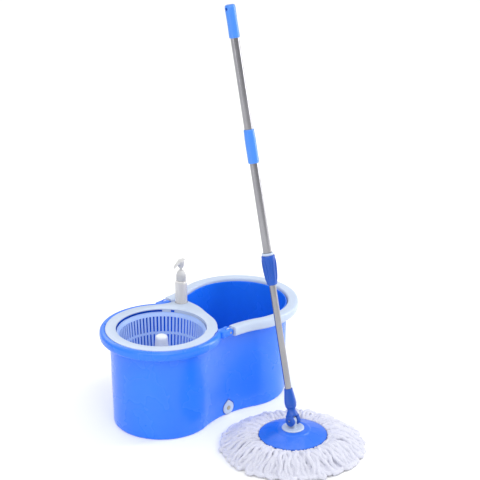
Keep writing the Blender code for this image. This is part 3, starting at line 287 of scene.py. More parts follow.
def plastic(name, base, effects, roughness=0.30, peel=420.0, relief=0.12, wear=0.5, coat=0.0, glow=0.0):
    """Moulded plastic: flow marks in its tint, peel in its skin, scratches, scuffs and a little dust."""
    made, tree, shader, place = new_material(name)
    skin = place_group(tree, effects["skin"], place, peel_scale=peel)
    rubs = place_group(tree, effects["rubs"], place)
    dust = place_group(tree, effects["dust"], place)
    tint = mixed(tree, skin["Flow"], shade(base, 0.965), shade(base, 1.03))
    worn = tuple(channel * 0.75 + 0.25 * 0.85 for channel in base)
    tint = mixed(tree, math_node(tree, "MULTIPLY", rubs["Scratches"], 0.35 * wear), tint, worn)
    tint = mixed(tree, math_node(tree, "MULTIPLY", dust["Dust"], 0.05), tint, (0.86, 0.86, 0.88))
    tree.links.new(tint, shader.inputs["Base Color"])
    rough = math_node(tree, "ADD", math_node(tree, "MULTIPLY", skin["Flow"], 0.04), roughness - 0.02)
    rough = math_node(tree, "ADD", rough, math_node(tree, "MULTIPLY", rubs["Scuffs"], 0.14 * wear))
    rough = math_node(tree, "ADD", rough, math_node(tree, "MULTIPLY", dust["Dust"], 0.10))
    tree.links.new(rough, shader.inputs["Roughness"])
    height = math_node(tree, "SUBTRACT", skin["Height"], math_node(tree, "MULTIPLY", rubs["Scratches"], 0.5))
    bump_into(tree, shader, height, relief, 0.0004)
    shader.inputs["IOR"].default_value = 1.49
    shader.inputs["Coat Weight"].default_value = coat
    shader.inputs["Coat Roughness"].default_value = 0.08
    if glow:
        shader.inputs["Subsurface Weight"].default_value = glow
        shader.inputs["Subsurface Radius"].default_value = (0.004, 0.004, 0.005)
        shader.inputs["Subsurface Scale"].default_value = 1.0
    return made


def paint_light_on_hub(made, base, axis, radius):
    """Paint light on the hub in the middle of a moulding: a paler tint within a radius of an upright axis, a
    painted highlight for the light that falls on the dome more than on the walls round it.
    """
    tree = made.node_tree
    shader = tree.nodes["Principled BSDF"]
    centred = node(tree, "ShaderNodeMapping")
    centred.inputs["Location"].default_value = (-axis[0], -axis[1], 0.0)
    centred.inputs["Scale"].default_value = (1.0, 1.0, 0.0)
    tree.links.new(node(tree, "ShaderNodeTexCoord").outputs["Object"], centred.inputs["Vector"])
    away = node(tree, "ShaderNodeVectorMath", operation="LENGTH")
    tree.links.new(centred.outputs[0], away.inputs[0])
    # painted light: the mask is 0 on the hub and 1 on the walls, so the hub alone gets the paler, lit tint
    walls = stretch(tree, away.outputs["Value"], radius * 0.8, radius * 1.2)
    tint = shader.inputs["Base Color"].links[0].from_socket
    tree.links.new(mixed(tree, walls, base, tint), shader.inputs["Base Color"])


def milky_clear(name, base, effects):
    """Thin milky plastic that lets the pieces inside it show."""
    made, tree, shader, place = new_material(name)
    skin = place_group(tree, effects["skin"], place, peel_scale=260.0)
    rubs = place_group(tree, effects["rubs"], place)
    tint = mixed(tree, skin["Flow"], shade(base, 0.95), base)
    tree.links.new(tint, shader.inputs["Base Color"])
    rough = math_node(tree, "ADD", math_node(tree, "MULTIPLY", skin["Flow"], 0.08), 0.14)
    rough = math_node(tree, "ADD", rough, math_node(tree, "MULTIPLY", rubs["Scuffs"], 0.12))
    tree.links.new(rough, shader.inputs["Roughness"])
    bump_into(tree, shader, skin["Height"], 0.15, 0.0004)
    shader.inputs["Transmission Weight"].default_value = 0.54
    shader.inputs["IOR"].default_value = 1.30
    return made


def drawn_metal(name, base, effects, roughness=0.18, along=True, lines=900.0):
    """Drawn and polished metal: fine lines along the pole, small dents of tone and fingermarks."""
    made, tree, shader, place = new_material(name)
    upright = node(tree, "ShaderNodeMapping", vector_type="TEXTURE")
    upright.inputs["Location"].default_value = PIN
    upright.inputs["Rotation"].default_value = (-POLE_LEAN, 0.0, 0.0)
    tree.links.new(place, upright.inputs["Vector"])
    drawn = node(tree, "ShaderNodeMapping")
    drawn.inputs["Scale"].default_value = (1.0, 1.0, 0.012) if along else (0.05, 0.05, 1.0)
    tree.links.new(upright.outputs[0], drawn.inputs["Vector"])
    grain = noise_at(tree, drawn.outputs[0], lines, 2.0, 0.6)
    rubs = place_group(tree, effects["rubs"], place, scratch_scale=60.0)
    clouds = stretch(tree, noise_at(tree, place, 34.0, 3.0), 0.35, 0.65)
    tint = mixed(tree, clouds, shade(base, 0.93), shade(base, 1.05))
    tint = mixed(tree, stretch(tree, grain, 0.35, 0.65), shade(base, 0.88), tint)
    tree.links.new(tint, shader.inputs["Base Color"])
    rough = math_node(tree, "ADD", math_node(tree, "MULTIPLY", grain, 0.10), roughness - 0.05)
    rough = math_node(tree, "ADD", rough, math_node(tree, "MULTIPLY", rubs["Scuffs"], 0.12))
    tree.links.new(rough, shader.inputs["Roughness"])
    bump_into(tree, shader, grain, 0.10, 0.0001)
    shader.inputs["Metallic"].default_value = 1.0
    return made


def chenille(name, base):
    """Microfibre chenille: tufts, painted shade in the hollows between them and a soft sheen."""
    made, tree, shader, place = new_material(name)
    tufts = node(tree, "ShaderNodeTexVoronoi", feature="F1")
    tufts.inputs["Scale"].default_value = 520.0
    tufts.inputs["Randomness"].default_value = 1.0
    tree.links.new(place, tufts.inputs["Vector"])
    fibres = noise_at(tree, place, 1900.0, 4.0, 0.7)
    # painted shade: darker towards the hollows between the tufts, where shade would fall
    shadow = stretch(tree, tufts.outputs["Distance"], 0.25, 0.85)
    clumps = stretch(tree, noise_at(tree, place, 60.0, 3.0), 0.3, 0.7)
    tint = mixed(tree, shadow, base, shade(base, 0.86))
    tint = mixed(tree, math_node(tree, "MULTIPLY", clumps, 0.5), tint, shade(base, 0.95))
    tint = mixed(tree, stretch(tree, fibres, 0.3, 0.7, 0.0, 0.3), tint, shade(base, 1.08))
    tree.links.new(tint, shader.inputs["Base Color"])
    rough = math_node(tree, "ADD", math_node(tree, "MULTIPLY", fibres, 0.10), 0.86)
    tree.links.new(rough, shader.inputs["Roughness"])
    height = math_node(tree, "SUBTRACT", math_node(tree, "MULTIPLY", fibres, 0.5), tufts.outputs["Distance"])
    bump_into(tree, shader, height, 0.55, 0.0012)
    shader.inputs["Sheen Weight"].default_value = 0.35
    shader.inputs["Sheen Roughness"].default_value = 0.5
    shader.inputs["Specular IOR Level"].default_value = 0.2
    return made


def soft_rubber(name, base, effects):
    made, tree, shader, place = new_material(name)
    skin = place_group(tree, effects["skin"], place, peel_scale=700.0)
    rubs = place_group(tree, effects["rubs"], place, scuff_scale=120.0)
    tint = mixed(tree, rubs["Scuffs"], base, shade(base, 1.3))
    tree.links.new(mixed(tree, skin["Flow"], tint, shade(base, 0.85)), shader.inputs["Base Color"])
    rough = math_node(tree, "ADD", math_node(tree, "MULTIPLY", skin["Height"], 0.15), 0.58)
    tree.links.new(rough, shader.inputs["Roughness"])
    bump_into(tree, shader, skin["Height"], 0.3, 0.0004)
    return made


FINISH = {}


def make_finishes(tints):
    effects = {"skin": moulded_skin_group(), "rubs": rubbed_marks_group(), "dust": settled_dust_group()}
    FINISH["bucket"] = plastic("gloss_bucket_blue", tints.bucket, effects, 0.27, relief=0.05, coat=0.12)
    FINISH["fittings"] = plastic("fitting_blue", tints.fittings, effects, 0.34, peel=800.0, relief=0.15)
    FINISH["grip"] = plastic("grip_blue", tints.grip, effects, 0.30, peel=900.0, relief=0.18, coat=0.2)
    FINISH["disc"] = plastic("disc_blue", tints.disc, effects, 0.30, peel=500.0, relief=0.10, coat=0.10)
    FINISH["deck"] = plastic("deck_white", tints.deck, effects, 0.32, relief=0.08, wear=0.4)
    FINISH["handle"] = plastic("handle_white", tints.deck, effects, 0.34, peel=600.0, relief=0.12, wear=0.8)
    FINISH["basket"] = plastic("basket_white", tints.basket, effects, 0.30, relief=0.08, wear=0.5)
    # painted light: the basket's hub is tinted paler, as if more light falls on it than on the walls
    paint_light_on_hub(FINISH["basket"], tints.hub, (-HALF, 0.0), 0.0270)
    FINISH["hidden"] = plastic("inner_white", shade(tints.deck, 0.92), effects, 0.40, relief=0.15)
    FINISH["bearing"] = plastic("bearing_grey", (0.20, 0.21, 0.23), effects, 0.45, relief=0.2)
    FINISH["pump"] = plastic("pump_white", tints.pump, effects, 0.30, peel=900.0, relief=0.12)
    FINISH["bottle"] = milky_clear("bottle_milky_clear", tints.bottle, effects)
    FINISH["tube"] = drawn_metal("polished_tube", tints.steel, effects, 0.17)
    FINISH["bright"] = drawn_metal("bright_pin", shade(tints.steel, 1.1), effects, 0.25, along=False)
    FINISH["rod"] = drawn_metal("rolled_strip", shade(tints.steel, 0.8), effects, 0.32)
    FINISH["strands"] = chenille("strand_chenille", tints.strands)
    FINISH["button"] = soft_rubber("button_rubber", tints.button, effects)


# ------------------------------------------------------------ making meshes
def mesh_of(bm, name, weld=0.0):
    if weld:
        bmesh.ops.remove_doubles(bm, verts=bm.verts, dist=weld)
    bmesh.ops.recalc_face_normals(bm, faces=bm.faces)
    made = bpy.data.meshes.new(name)
    bm.to_mesh(made)
    bm.free()
    return made


def shown(name, mesh):
    made = bpy.data.objects.new(name, mesh)
    bpy.context.scene.collection.objects.link(made)
    return made


def frozen(thing):
    """The thing's evaluated mesh in place of its own, with its modifiers gone."""
    graph = bpy.context.evaluated_depsgraph_get()
    mesh = bpy.data.meshes.new_from_object(thing.evaluated_get(graph))
    thing.modifiers.clear()
    thing.data = mesh
    return thing


def piece(name, meshes, finish, body, nodes=(), sharp=35.0, matrix=None):
    """Join meshes in one object, give it its finish and set it on its body."""
    bm = bmesh.new()
    for mesh in meshes:
        bm.from_mesh(mesh)
    if matrix is not None:
        bmesh.ops.transform(bm, matrix=matrix, verts=bm.verts)
    joined = bpy.data.meshes.new(name)
    bm.to_mesh(joined)
    bm.free()
    joined.materials.clear()
    joined.materials.append(FINISH[finish])
    for face in joined.polygons:
        face.material_index = 0
    joined.shade_smooth()
    joined.set_sharp_from_angle(angle=math.radians(sharp))
    made = shown(name, joined)
    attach(made, body)
    if nodes:
        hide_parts(*nodes)
    return made


def rounded(corners, steps=4):
    """Round the corners of an open line: each corner is (radius, height, rounding)."""
    points = []
    for i, (x, z, reach) in enumerate(corners):
        here = Vector((x, z))
        if i in (0, len(corners) - 1) or not reach:
            points.append((x, z))
            continue
        before = Vector(corners[i - 1][:2]) - here
        after = Vector(corners[i + 1][:2]) - here
        start = here + before.normalized() * min(reach, before.length * 0.48)
        end = here + after.normalized() * min(reach, after.length * 0.48)
        for k in range(steps + 1):
            t = k / steps
            points.append(tuple((1 - t) ** 2 * start + 2 * t * (1 - t) * here + t * t * end))
    return points


def turned(name, corners, sides=64, steps=4, centre=(0.0, 0.0), ring=False):
    """Turn a rounded profile about Z. A ring's profile closes on itself; others end on the axis."""
    profile = rounded(corners, steps)
    bm = bmesh.new()
    rows = []
    for radius, height in profile:
        if radius < ON_AXIS:
            rows.append([bm.verts.new((centre[0], centre[1], height))])
            continue
        row = []
        for k in range(sides):
            angle = math.tau * k / sides
            x, y = centre[0] + radius * math.cos(angle), centre[1] + radius * math.sin(angle)
            row.append(bm.verts.new((x, y, height)))
        rows.append(row)
    pairs = list(zip(rows, rows[1:]))
    if ring:
        pairs.append((rows[-1], rows[0]))
    for first, second in pairs:
        for k in range(sides):
            j = (k + 1) % sides
            around = ((first, k), (first, j), (second, j), (second, k))
            unique = list(dict.fromkeys(row[i % len(row)] for row, i in around))
            if len(unique) > 2:
                bm.faces.new(unique)
    return mesh_of(bm, name, ON_AXIS)


def ring_mesh(name, outer, inner, sides=64, steps=3):
    return turned(name, outer + inner, sides, steps, ring=True)


def skinned(name, loops):
    """Skin a row of equal loops and cap its ends."""
    bm = bmesh.new()
    rows = [[bm.verts.new(point) for point in loop] for loop in loops]
    count = len(rows[0])
    for first, second in zip(rows, rows[1:]):
        for i in range(count):
            j = (i + 1) % count
            bm.faces.new((first[i], first[j], second[j], second[i]))
    bm.faces.new(rows[0])
    bm.faces.new(rows[-1])
    return mesh_of(bm, name)


def plate(name, outlines, low, high, edge):
    """A flat plate with rounded edges, from a filled curve; later outlines are holes in the first."""
    curve = bpy.data.curves.new(name, "CURVE")
    curve.dimensions = "2D"
    curve.fill_mode = "BOTH"
    curve.bevel_depth = edge
    curve.bevel_resolution = 2
    curve.offset = -edge
    curve.extrude = (high - low) / 2 - edge
    for outline in outlines:
        spline = curve.splines.new("POLY")
        spline.points.add(len(outline) - 1)
        for point, (x, y) in zip(spline.points, outline):
            point.co = (x, y, 0, 1)
        spline.use_cyclic_u = True
    drawn = shown(name, curve)
    graph = bpy.context.evaluated_depsgraph_get()
    flat = bpy.data.meshes.new_from_object(drawn.evaluated_get(graph))
    bpy.data.objects.remove(drawn, do_unlink=True)
    bm = bmesh.new()
    bm.from_mesh(flat)
    bmesh.ops.translate(bm, verts=bm.verts, vec=(0, 0, (low + high) / 2))
    return mesh_of(bm, name, 1e-5)


def circle_points(radius, count, centre=(0.0, 0.0)):
    turns = [math.tau * k / count for k in range(count)]
    return [(centre[0] + radius * math.cos(a), centre[1] + radius * math.sin(a)) for a in turns]


def block(name, centre, size, edge, segments=3):
    """A box with rounded edges."""
    bm = bmesh.new()
    bmesh.ops.create_cube(bm, size=1.0, matrix=Matrix.Translation(centre) @ Matrix.Diagonal((*size, 1.0)))
    bmesh.ops.bevel(bm, geom=bm.edges[:], offset=edge, segments=segments, profile=0.5, affect="EDGES")
    return mesh_of(bm, name)


def barrel(name, centre, radius, length, axis, edge, sides=48):
    """A bar with rounded ends, lying along an axis."""
    half = length / 2
    made = turned(name, [(0.0, -half, 0), (radius, -half, edge), (radius, half, edge), (0.0, half, 0)], sides)
    turn = Vector(UPRIGHT).rotation_difference(Vector(axis)).to_matrix().to_4x4()
    made.transform(Matrix.Translation(centre) @ turn)
    return made


def combined(mesh, steps):
    """Join on or cut away other meshes in order: steps is a list of (operation, mesh)."""
    thing = shown("work", mesh)
    others = []
    for operation, other in steps:
        tool = shown("tool", other)
        others.append(tool)
        change = thing.modifiers.new(operation, "BOOLEAN")
        change.operation = operation
        change.solver = "EXACT"
        change.object = tool
    frozen(thing)
    result = thing.data
    for other in [*others, thing]:
        bpy.data.objects.remove(other, do_unlink=True)
    return result


# ------------------------------------------------------------ what repeats
TUFT_GAIN = 2.6                # stretches the noise's narrow range to the whole depth of the pile


def wired(tree, *pairs):
    for source, target in pairs:
        tree.links.new(source, target)


def grower(name, inputs):
    """A tree of geometry nodes: its inputs are (label, kind, default), and a Finish comes last."""
    tree = bpy.data.node_groups.new(name, "GeometryNodeTree")
    for label, kind, value in (*inputs, ("Finish", "Material", None)):
        made = tree.interface.new_socket(label, in_out="INPUT", socket_type="NodeSocket" + kind)
        if value is not None:
            made.default_value = value
    tree.interface.new_socket("Geometry", in_out="OUTPUT", socket_type="NodeSocketGeometry")
    return tree, node(tree, "NodeGroupInput").outputs, node(tree, "NodeGroupOutput").inputs


def repeat_tree():
    """Geometry nodes: copies of a mesh evenly round Z, made real, welded and given their finish."""
    tree, given, out = grower("Repeat round the axis", [
        ("Geometry", "Geometry", None), ("Count", "Int", 12), ("Weld distance", "Float", 0.00001)])
    points = node(tree, "GeometryNodePoints")
    step = math_node(tree, "DIVIDE", math.tau, given["Count"])
    turn = math_node(tree, "MULTIPLY", node(tree, "GeometryNodeInputIndex").outputs[0], step)
    spin = node(tree, "ShaderNodeCombineXYZ")
    copies = node(tree, "GeometryNodeInstanceOnPoints")
    real = node(tree, "GeometryNodeRealizeInstances")
    weld = node(tree, "GeometryNodeMergeByDistance")
    finish = node(tree, "GeometryNodeSetMaterial")
    wired(tree, (given["Count"], points.inputs["Count"]), (turn, spin.inputs["Z"]),
          (points.outputs[0], copies.inputs["Points"]), (given["Geometry"], copies.inputs["Instance"]),
          (spin.outputs[0], copies.inputs["Rotation"]), (copies.outputs[0], real.inputs[0]),
          (real.outputs[0], weld.inputs["Geometry"]), (given["Weld distance"], weld.inputs["Distance"]),
          (weld.outputs[0], finish.inputs["Geometry"]), (given["Finish"], finish.inputs["Material"]),
          (finish.outputs[0], out["Geometry"]))
    return tree


def strand_tree():
    """Geometry nodes: tufted strands along lines, with a tuft pattern from a fixed seed."""
    tree, given, out = grower("Chenille strands", [
        ("Lines", "Geometry", None), ("Radius", "Float", 0.0034), ("Pile depth", "Float", 0.0015),
        ("Step", "Float", 0.0030), ("Sides", "Int", 8), ("Tuft scale", "Float", 160.0),
        ("Seed", "Float", 3.0)])
    curves = node(tree, "GeometryNodeMeshToCurve")
    evened = node(tree, "GeometryNodeResampleCurve", mode="LENGTH")
    section = node(tree, "GeometryNodeCurvePrimitiveCircle")
    tubes = node(tree, "GeometryNodeCurveToMesh")
    tubes.inputs["Fill Caps"].default_value = True
    tufts = node(tree, "ShaderNodeTexNoise", noise_dimensions="4D")
    tufts.inputs["Detail"].default_value = 2.0
    tuft = math_node(tree, "SUBTRACT", tufts.outputs["Fac"], 0.5)
    depth = math_node(tree, "MULTIPLY", given["Pile depth"], math_node(tree, "MULTIPLY", TUFT_GAIN, tuft))
    outward = node(tree, "ShaderNodeVectorMath", operation="SCALE")
    moved = node(tree, "GeometryNodeSetPosition")
    real = node(tree, "GeometryNodeRealizeInstances")
    smooth = node(tree, "GeometryNodeSetShadeSmooth")
    finish = node(tree, "GeometryNodeSetMaterial")
    wired(tree, (given["Lines"], curves.inputs["Mesh"]), (curves.outputs[0], evened.inputs["Curve"]),
          (given["Step"], evened.inputs["Length"]), (given["Radius"], section.inputs["Radius"]),
          (given["Sides"], section.inputs["Resolution"]), (evened.outputs[0], tubes.inputs["Curve"]),
          (section.outputs[0], tubes.inputs["Profile Curve"]), (given["Tuft scale"], tufts.inputs["Scale"]),
          (given["Seed"], tufts.inputs["W"]), (depth, outward.inputs["Scale"]),
          (node(tree, "GeometryNodeInputNormal").outputs[0], outward.inputs[0]),
          (tubes.outputs[0], moved.inputs["Geometry"]), (outward.outputs[0], moved.inputs["Offset"]),
          (moved.outputs[0], real.inputs[0]), (real.outputs[0], smooth.inputs[0]),
          (smooth.outputs[0], finish.inputs["Geometry"]), (given["Finish"], finish.inputs["Material"]),
          (finish.outputs[0], out["Geometry"]))
    return tree


TREES = {}


def grown_from(mesh, tree_name, finish, **values):
    """Run a tree of geometry nodes on a mesh and return the result as a plain mesh."""
    makers = {"repeat": repeat_tree, "strands": strand_tree}
    if tree_name not in TREES:
        TREES[tree_name] = makers[tree_name]()
    tree = TREES[tree_name]
    thing = shown("work", mesh)
    change = thing.modifiers.new("Made", "NODES")
    change.node_group = tree
    sockets = {item.name: item.identifier for item in tree.interface.items_tree if item.in_out == "INPUT"}
    change[sockets["Finish"]] = FINISH[finish]
    for label, value in values.items():
        change[sockets[label.replace("_", " ").capitalize()]] = value
    frozen(thing)
    result = thing.data
    bpy.data.objects.remove(thing, do_unlink=True)
    return result


# ------------------------------------------------------------ the bucket
def bucket_outline(lobe_sides=88, waist_sides=30):
    """The wall's outside under the rim: points and outward normals, anticlockwise."""
    hollow = (HALF ** 2 + WAIST ** 2 - LOBE_RADIUS ** 2) / (2 * (LOBE_RADIUS - WAIST))
    hollow_y = WAIST + hollow
    touch = math.atan2(hollow_y, HALF)
    stops = []
    for i in range(lobe_sides + 1):
        angle = (math.pi - touch) * (2 * i / lobe_sides - 1)
        normal = Vector((math.cos(angle), math.sin(angle)))
        stops.append((Vector((HALF, 0)) + LOBE_RADIUS * normal, normal))
    for i in range(1, waist_sides):
        angle = -touch - (math.pi - 2 * touch) * i / waist_sides
        inward = Vector((math.cos(angle), math.sin(angle)))
        stops.append((Vector((0, hollow_y)) + hollow * inward, -inward))
    return stops + [(-point, -normal) for point, normal in stops]


def share(x):
    """Basket lobe -1, waist 0, handle's side +1."""
    waist_end = PIVOT.x - KNUCKLE
    if x < waist_end:
        reach = min((waist_end - x) / (0.45 * HALF), 1.0)
        return -reach * reach * (3 - 2 * reach)
    return min((x - waist_end) / (-0.001 - waist_end), 1.0)


def bucket_profiles():
    """(offset from the wall, height, rounding) down the outside, over the rim and down the inside."""
    top, under, thick = RIM_TOP, RIM_TOP - RIM_DEPTH, WALL
    over, side, ledge = 0.0222, 0.0095, 0.0105
    ledge_top = PIVOT.z - HANDLE_HEIGHT / 2 - 0.0008
    lip = top - 0.0040
    seat = DECK_RADIUS + 0.0004 - LOBE_RADIUS
    outside = [(-TAPER - 0.0030, 0.0, 0), (-TAPER, 0.0030, 0.0026)]
    inside = [(-TAPER - thick, FLOOR + 0.0040, 0.0), (-TAPER - thick - 0.0040, FLOOR, 0.0)]
    for i in range(1, 12):
        height = 0.0030 + (under - 0.0030) * i / 12
        outside.append((-TAPER + (TAPER - 0.0003) * i / 12, height, 0))
        height = FLOOR + 0.0040 + (top - 0.0080 - FLOOR - 0.0040) * i / 12
        inside.insert(0, (-TAPER - thick + TAPER * i / 12, height, 0))
    rims = [
        [(-0.0003, under, 0.001), (over * 0.55, under + 0.0015, 0.003), (over * 0.92, under + 0.0050, 0.003),
         (over, under + 0.0110, 0.004), (over * 0.97, top - 0.0050, 0.003),
         (over * 0.83, top - 0.0012, 0.003), (over * 0.62, top, 0.002), (seat + 0.0002, top - 0.0008, 0.0005),
         (seat, SEAT, 0.0003), (0.0, SEAT, 0.001)],
        [(-0.0003, under, 0.001), (side * 0.5, under + 0.0020, 0.003), (side * 0.9, under + 0.0055, 0.003),
         (side, under + 0.0110, 0.004), (side * 0.95, top - 0.0050, 0.003),
         (side * 0.75, top - 0.0010, 0.002),
         (side * 0.45, top, 0.001), (0.0010, top - 0.0008, 0.0005), (0.0002, SEAT, 0.0003),
         (-thick * 0.8, SEAT, 0.001)],
        [(-0.0003, under, 0.001), (ledge * 0.7, under + 0.0005, 0.002), (ledge, ledge_top - 0.0022, 0.0006),
         (ledge, ledge_top - 0.0004, 0.0003), (ledge - 0.0010, ledge_top, 0.0004),
         (0.0008, ledge_top + 0.0002, 0.0005),
         (0.0, ledge_top + 0.0012, 0.0006), (0.0, lip - 0.0010, 0.0005), (-0.0004, lip, 0.0004),
         (-thick + 0.0004, lip, 0.0004)],
    ]
    rest = [(-thick, top - 0.0080, 0.001)]
    return [rounded(outside + rim + rest + inside, 3) for rim in rims]


def deck_outline(clearance):
    """The deck's outer edge with its bottle platform and front tab, moved out by a clearance."""
    def on_ring(angle):
        turn = math.radians(angle)
        return (-HALF + DECK_RADIUS * math.cos(turn), DECK_RADIUS * math.sin(turn))

    ring = [on_ring(angle) for angle in range(57, 298, 2)]
    tab = [on_ring(298), (-0.0480, -0.1020), (-0.0370, -0.0975), (-0.0250, -0.0880), on_ring(314)]
    middle = [on_ring(angle) for angle in range(317, 341, 2)]
    waist = [on_ring(342), (0.0130, -0.0050), (0.0235, 0.0280)]
    well = []
    for k in range(13):
        turn = math.radians(-28 + 148 * k / 12)
        well.append((BOTTLE_AT.x + WELL_RADIUS * math.cos(turn), BOTTLE_AT.y + WELL_RADIUS * math.sin(turn)))
    back = [(-0.0080, BOTTLE_AT.y + 0.0135), (-0.0250, BOTTLE_AT.y + 0.0180)]
    line = [Vector(point) for point in ring + tab + middle + waist + well + back]
    for _ in range(2):
        softened = []
        for i, point in enumerate(line):
            before, after = line[i - 1], line[(i + 1) % len(line)]
            softened += [point * 0.75 + before * 0.25, point * 0.75 + after * 0.25]
        line = softened
    moved = []
    for i, point in enumerate(line):
        along = (line[(i + 1) % len(line)] - line[i - 1]).normalized()
        moved.append(tuple(point + Vector((along.y, -along.x)) * clearance))
    return moved


def prism(name, outline, low, high):
    """A plain upright block on an outline, to cut with."""
    return skinned(name, [[(x, y, z) for x, y in outline] for z in (low, high)])


def teardrop(radius, tip, low, high, edge):
    """A teardrop plate that lies along Y: round below and pointed above."""
    half = math.acos(radius / tip)
    turns = [math.pi / 2 + half + (math.tau - 2 * half) * k / 48 for k in range(49)]
    outline = [(radius * math.cos(angle), radius * math.sin(angle)) for angle in turns]
    blunt = tip - 0.0012
    for start, stops in ((outline[-1], (0.6, 0.85, 1.0)), (outline[0], (0.85, 0.6))):
        outline += [(start[0] * (1 - t), start[1] * (1 - t) + blunt * t) for t in stops]
    made = plate("teardrop", [outline], low, high, edge)
    made.transform(Matrix.Translation((PLUG_AT.x, 0.0, PLUG_AT.z)) @ Matrix.Rotation(math.radians(90), 4, "X")
                   @ Matrix.Scale(-1, 4, (0, 0, 1)))
    made.flip_normals()
    return made


PLUG_RADIUS, PLUG_TIP = 0.0150, 0.0205
PLUG_AT = Vector(((PLUG_LOW.x + PLUG_HIGH.x) / 2, PLUG_LOW.y, PLUG_LOW.z + PLUG_RADIUS))
DRAIN_WALL = -(WAIST - TAPER * (1 - PLUG_AT.z / (RIM_TOP - RIM_DEPTH)))


class SPINMOP_OT_bucket(Operator):
    """Make the twin-lobe bucket with its rolled rim, handle knuckles and drain pocket"""

    bl_idname = "spinmop.bucket"
    bl_label = "Bucket"

    def execute(self, context):
        outline = bucket_outline()
        left, waist, right = bucket_profiles()
        loops = []
        for k in range(len(waist)):
            loop = []
            for point, normal in outline:
                weight = share(point.x)
                other = left[k] if weight < 0 else right[k]
                offset = waist[k][0] + (other[0] - waist[k][0]) * abs(weight)
                height = waist[k][1] + (other[1] - waist[k][1]) * abs(weight)
                loop.append((point.x + normal.x * offset, point.y + normal.y * offset, height))
            loops.append(loop)
        body = skinned("bucket_body", loops)
        cheek, gap = 0.0050, 0.0056
        far, near = PIVOT_Y + gap / 2 + cheek, WAIST - WALL / 2
        middle, width = (far + near) / 2, far - near
        steps = []
        for sign in (-1, 1):
            place = (PIVOT.x, sign * middle, PIVOT.z)
            behind = (PIVOT.x - 0.0130, sign * middle, PIVOT.z)
            ahead = (PIVOT.x - KNUCKLE + 0.0192, sign * PIVOT_Y, PIVOT.z)
            hole = (PIVOT.x, sign * (near + 0.0030 + width / 2), PIVOT.z)
            knuckle_size = (0.0240, width - 0.0004, 2 * KNUCKLE - 0.0006)
            steps.append(("UNION", barrel("knuckle", place, KNUCKLE, width, ACROSS, 0.0030)))
            steps.append(("UNION", block("knuckle_block", behind, knuckle_size, 0.0040, 5)))
            steps.append(("DIFFERENCE", block("tongue_slot", ahead, (0.0400, gap, 0.0400), 0.0006, 1)))
            steps.append(("DIFFERENCE", barrel("pin_hole", hole, PIN_HOLE, width, ACROSS, 0.0001, 32)))
        steps.append(("DIFFERENCE", prism("recess", deck_outline(0.0004), SEAT, RIM_TOP + 0.0100)))
        back = DRAIN_WALL + 0.0012
        groove = (PLUG_RADIUS + 0.0024, PLUG_TIP + 0.0040, back - 0.0080, back + 0.0010, 0.0002)
        steps.append(("DIFFERENCE", teardrop(*groove)))
        port = (PLUG_AT.x, DRAIN_WALL, PLUG_AT.z)
        steps.append(("DIFFERENCE", barrel("port", port, 0.0062, 0.0200, ACROSS, 0.0001)))
        piece("bucket_shell", [combined(body, steps)], "bucket", "bucket", ["bucket"], 28.0)
        return {"FINISHED"}


class SPINMOP_OT_drain(Operator):
    """Make the teardrop drain plug and its rubber button"""

    bl_idname = "spinmop.drain"
    bl_label = "Drain plug"

    def execute(self, context):
        back = DRAIN_WALL + 0.0009
        front = back - 0.0030
        drop = teardrop(PLUG_RADIUS, PLUG_TIP, front, back, 0.0010)
        stem = barrel("stem", (PLUG_AT.x, back + 0.0022, PLUG_AT.z), 0.0059, 0.0056, ACROSS, 0.0004)
        dimple = barrel("dimple", (PLUG_AT.x, front, PLUG_AT.z), 0.0053, 0.0024, ACROSS, 0.0002)
        body = combined(drop, [("UNION", stem), ("DIFFERENCE", dimple)])
        piece("drain_teardrop", [body], "deck", "drain_plug", ["drain_plug"], 30.0)
        button = barrel("button", (PLUG_AT.x, front + 0.0002, PLUG_AT.z), 0.0050, 0.0017, ACROSS, 0.0006)
        piece("drain_rubber_button", [button], "button", "drain_plug", ["drain_button"])
        return {"FINISHED"}


class SPINMOP_OT_handle(Operator):
    """Make the carry handle, a rounded band that lies round the water lobe"""

    bl_idname = "spinmop.handle"
    bl_label = "Carry handle"

    def execute(self, context):
        outline = bucket_outline(120, 40)
        path = [item for item in outline if item[0].x > 0.0015]
        split = next(i for i in range(len(path)) if (path[i][0] - path[i - 1][0]).length > 0.05)
        path = path[split:] + path[:split]
        ends = [(Vector((0.0, side * WAIST)), Vector((0.0, side))) for side in (-1.0, 1.0)]
        path = [ends[0], *path, ends[1]]
        def squarish(value):
            """The sine or cosine of a turn, swollen from a circle's to a rounded square's."""
            return math.copysign(abs(value) ** 0.50, value)

        loops = []
        last = len(path) - 1
        for i, (point, normal) in enumerate(path):
            inset = 0.0009 if i in (0, last) else 0.0
            middle = point + normal * HANDLE_OFFSET
            loop = []
            for k in range(40):
                angle = math.tau * k / 40
                reach = squarish(math.cos(angle)) * (HANDLE_WIDTH / 2 - inset)
                rise = squarish(math.sin(angle)) * (HANDLE_HEIGHT / 2 - inset)
                loop.append((middle.x + normal.x * reach, middle.y + normal.y * reach, PIVOT.z + rise))
            loops.append(loop)
            if i == 0:
                loops.append([(x + 0.0009, y + (y - middle.y) * 0.08, PIVOT.z + (z - PIVOT.z) * 1.08)
                              for x, y, z in loop])
        parts = [skinned("band", loops)]
        for sign in (-1, 1):
            place = (PIVOT.x, sign * PIVOT_Y, PIVOT.z)
            eye = barrel("eye", place, KNUCKLE - 0.0006, 0.0050, ACROSS, 0.0004)
            tongue = block("tongue", (PIVOT.x / 2 + 0.0020, sign * PIVOT_Y, PIVOT.z),
                           (0.0040 - PIVOT.x, 0.0046, 2 * (KNUCKLE - 0.0022)), 0.0006)
            bore = barrel("bore", place, PIN_HOLE, 0.0100, ACROSS, 0.0001, 32)
            parts.append(combined(eye, [("UNION", tongue), ("DIFFERENCE", bore)]))
        piece("carry_band", parts, "handle", "carry_handle", ["carry_handle"], 40.0)
        return {"FINISHED"}


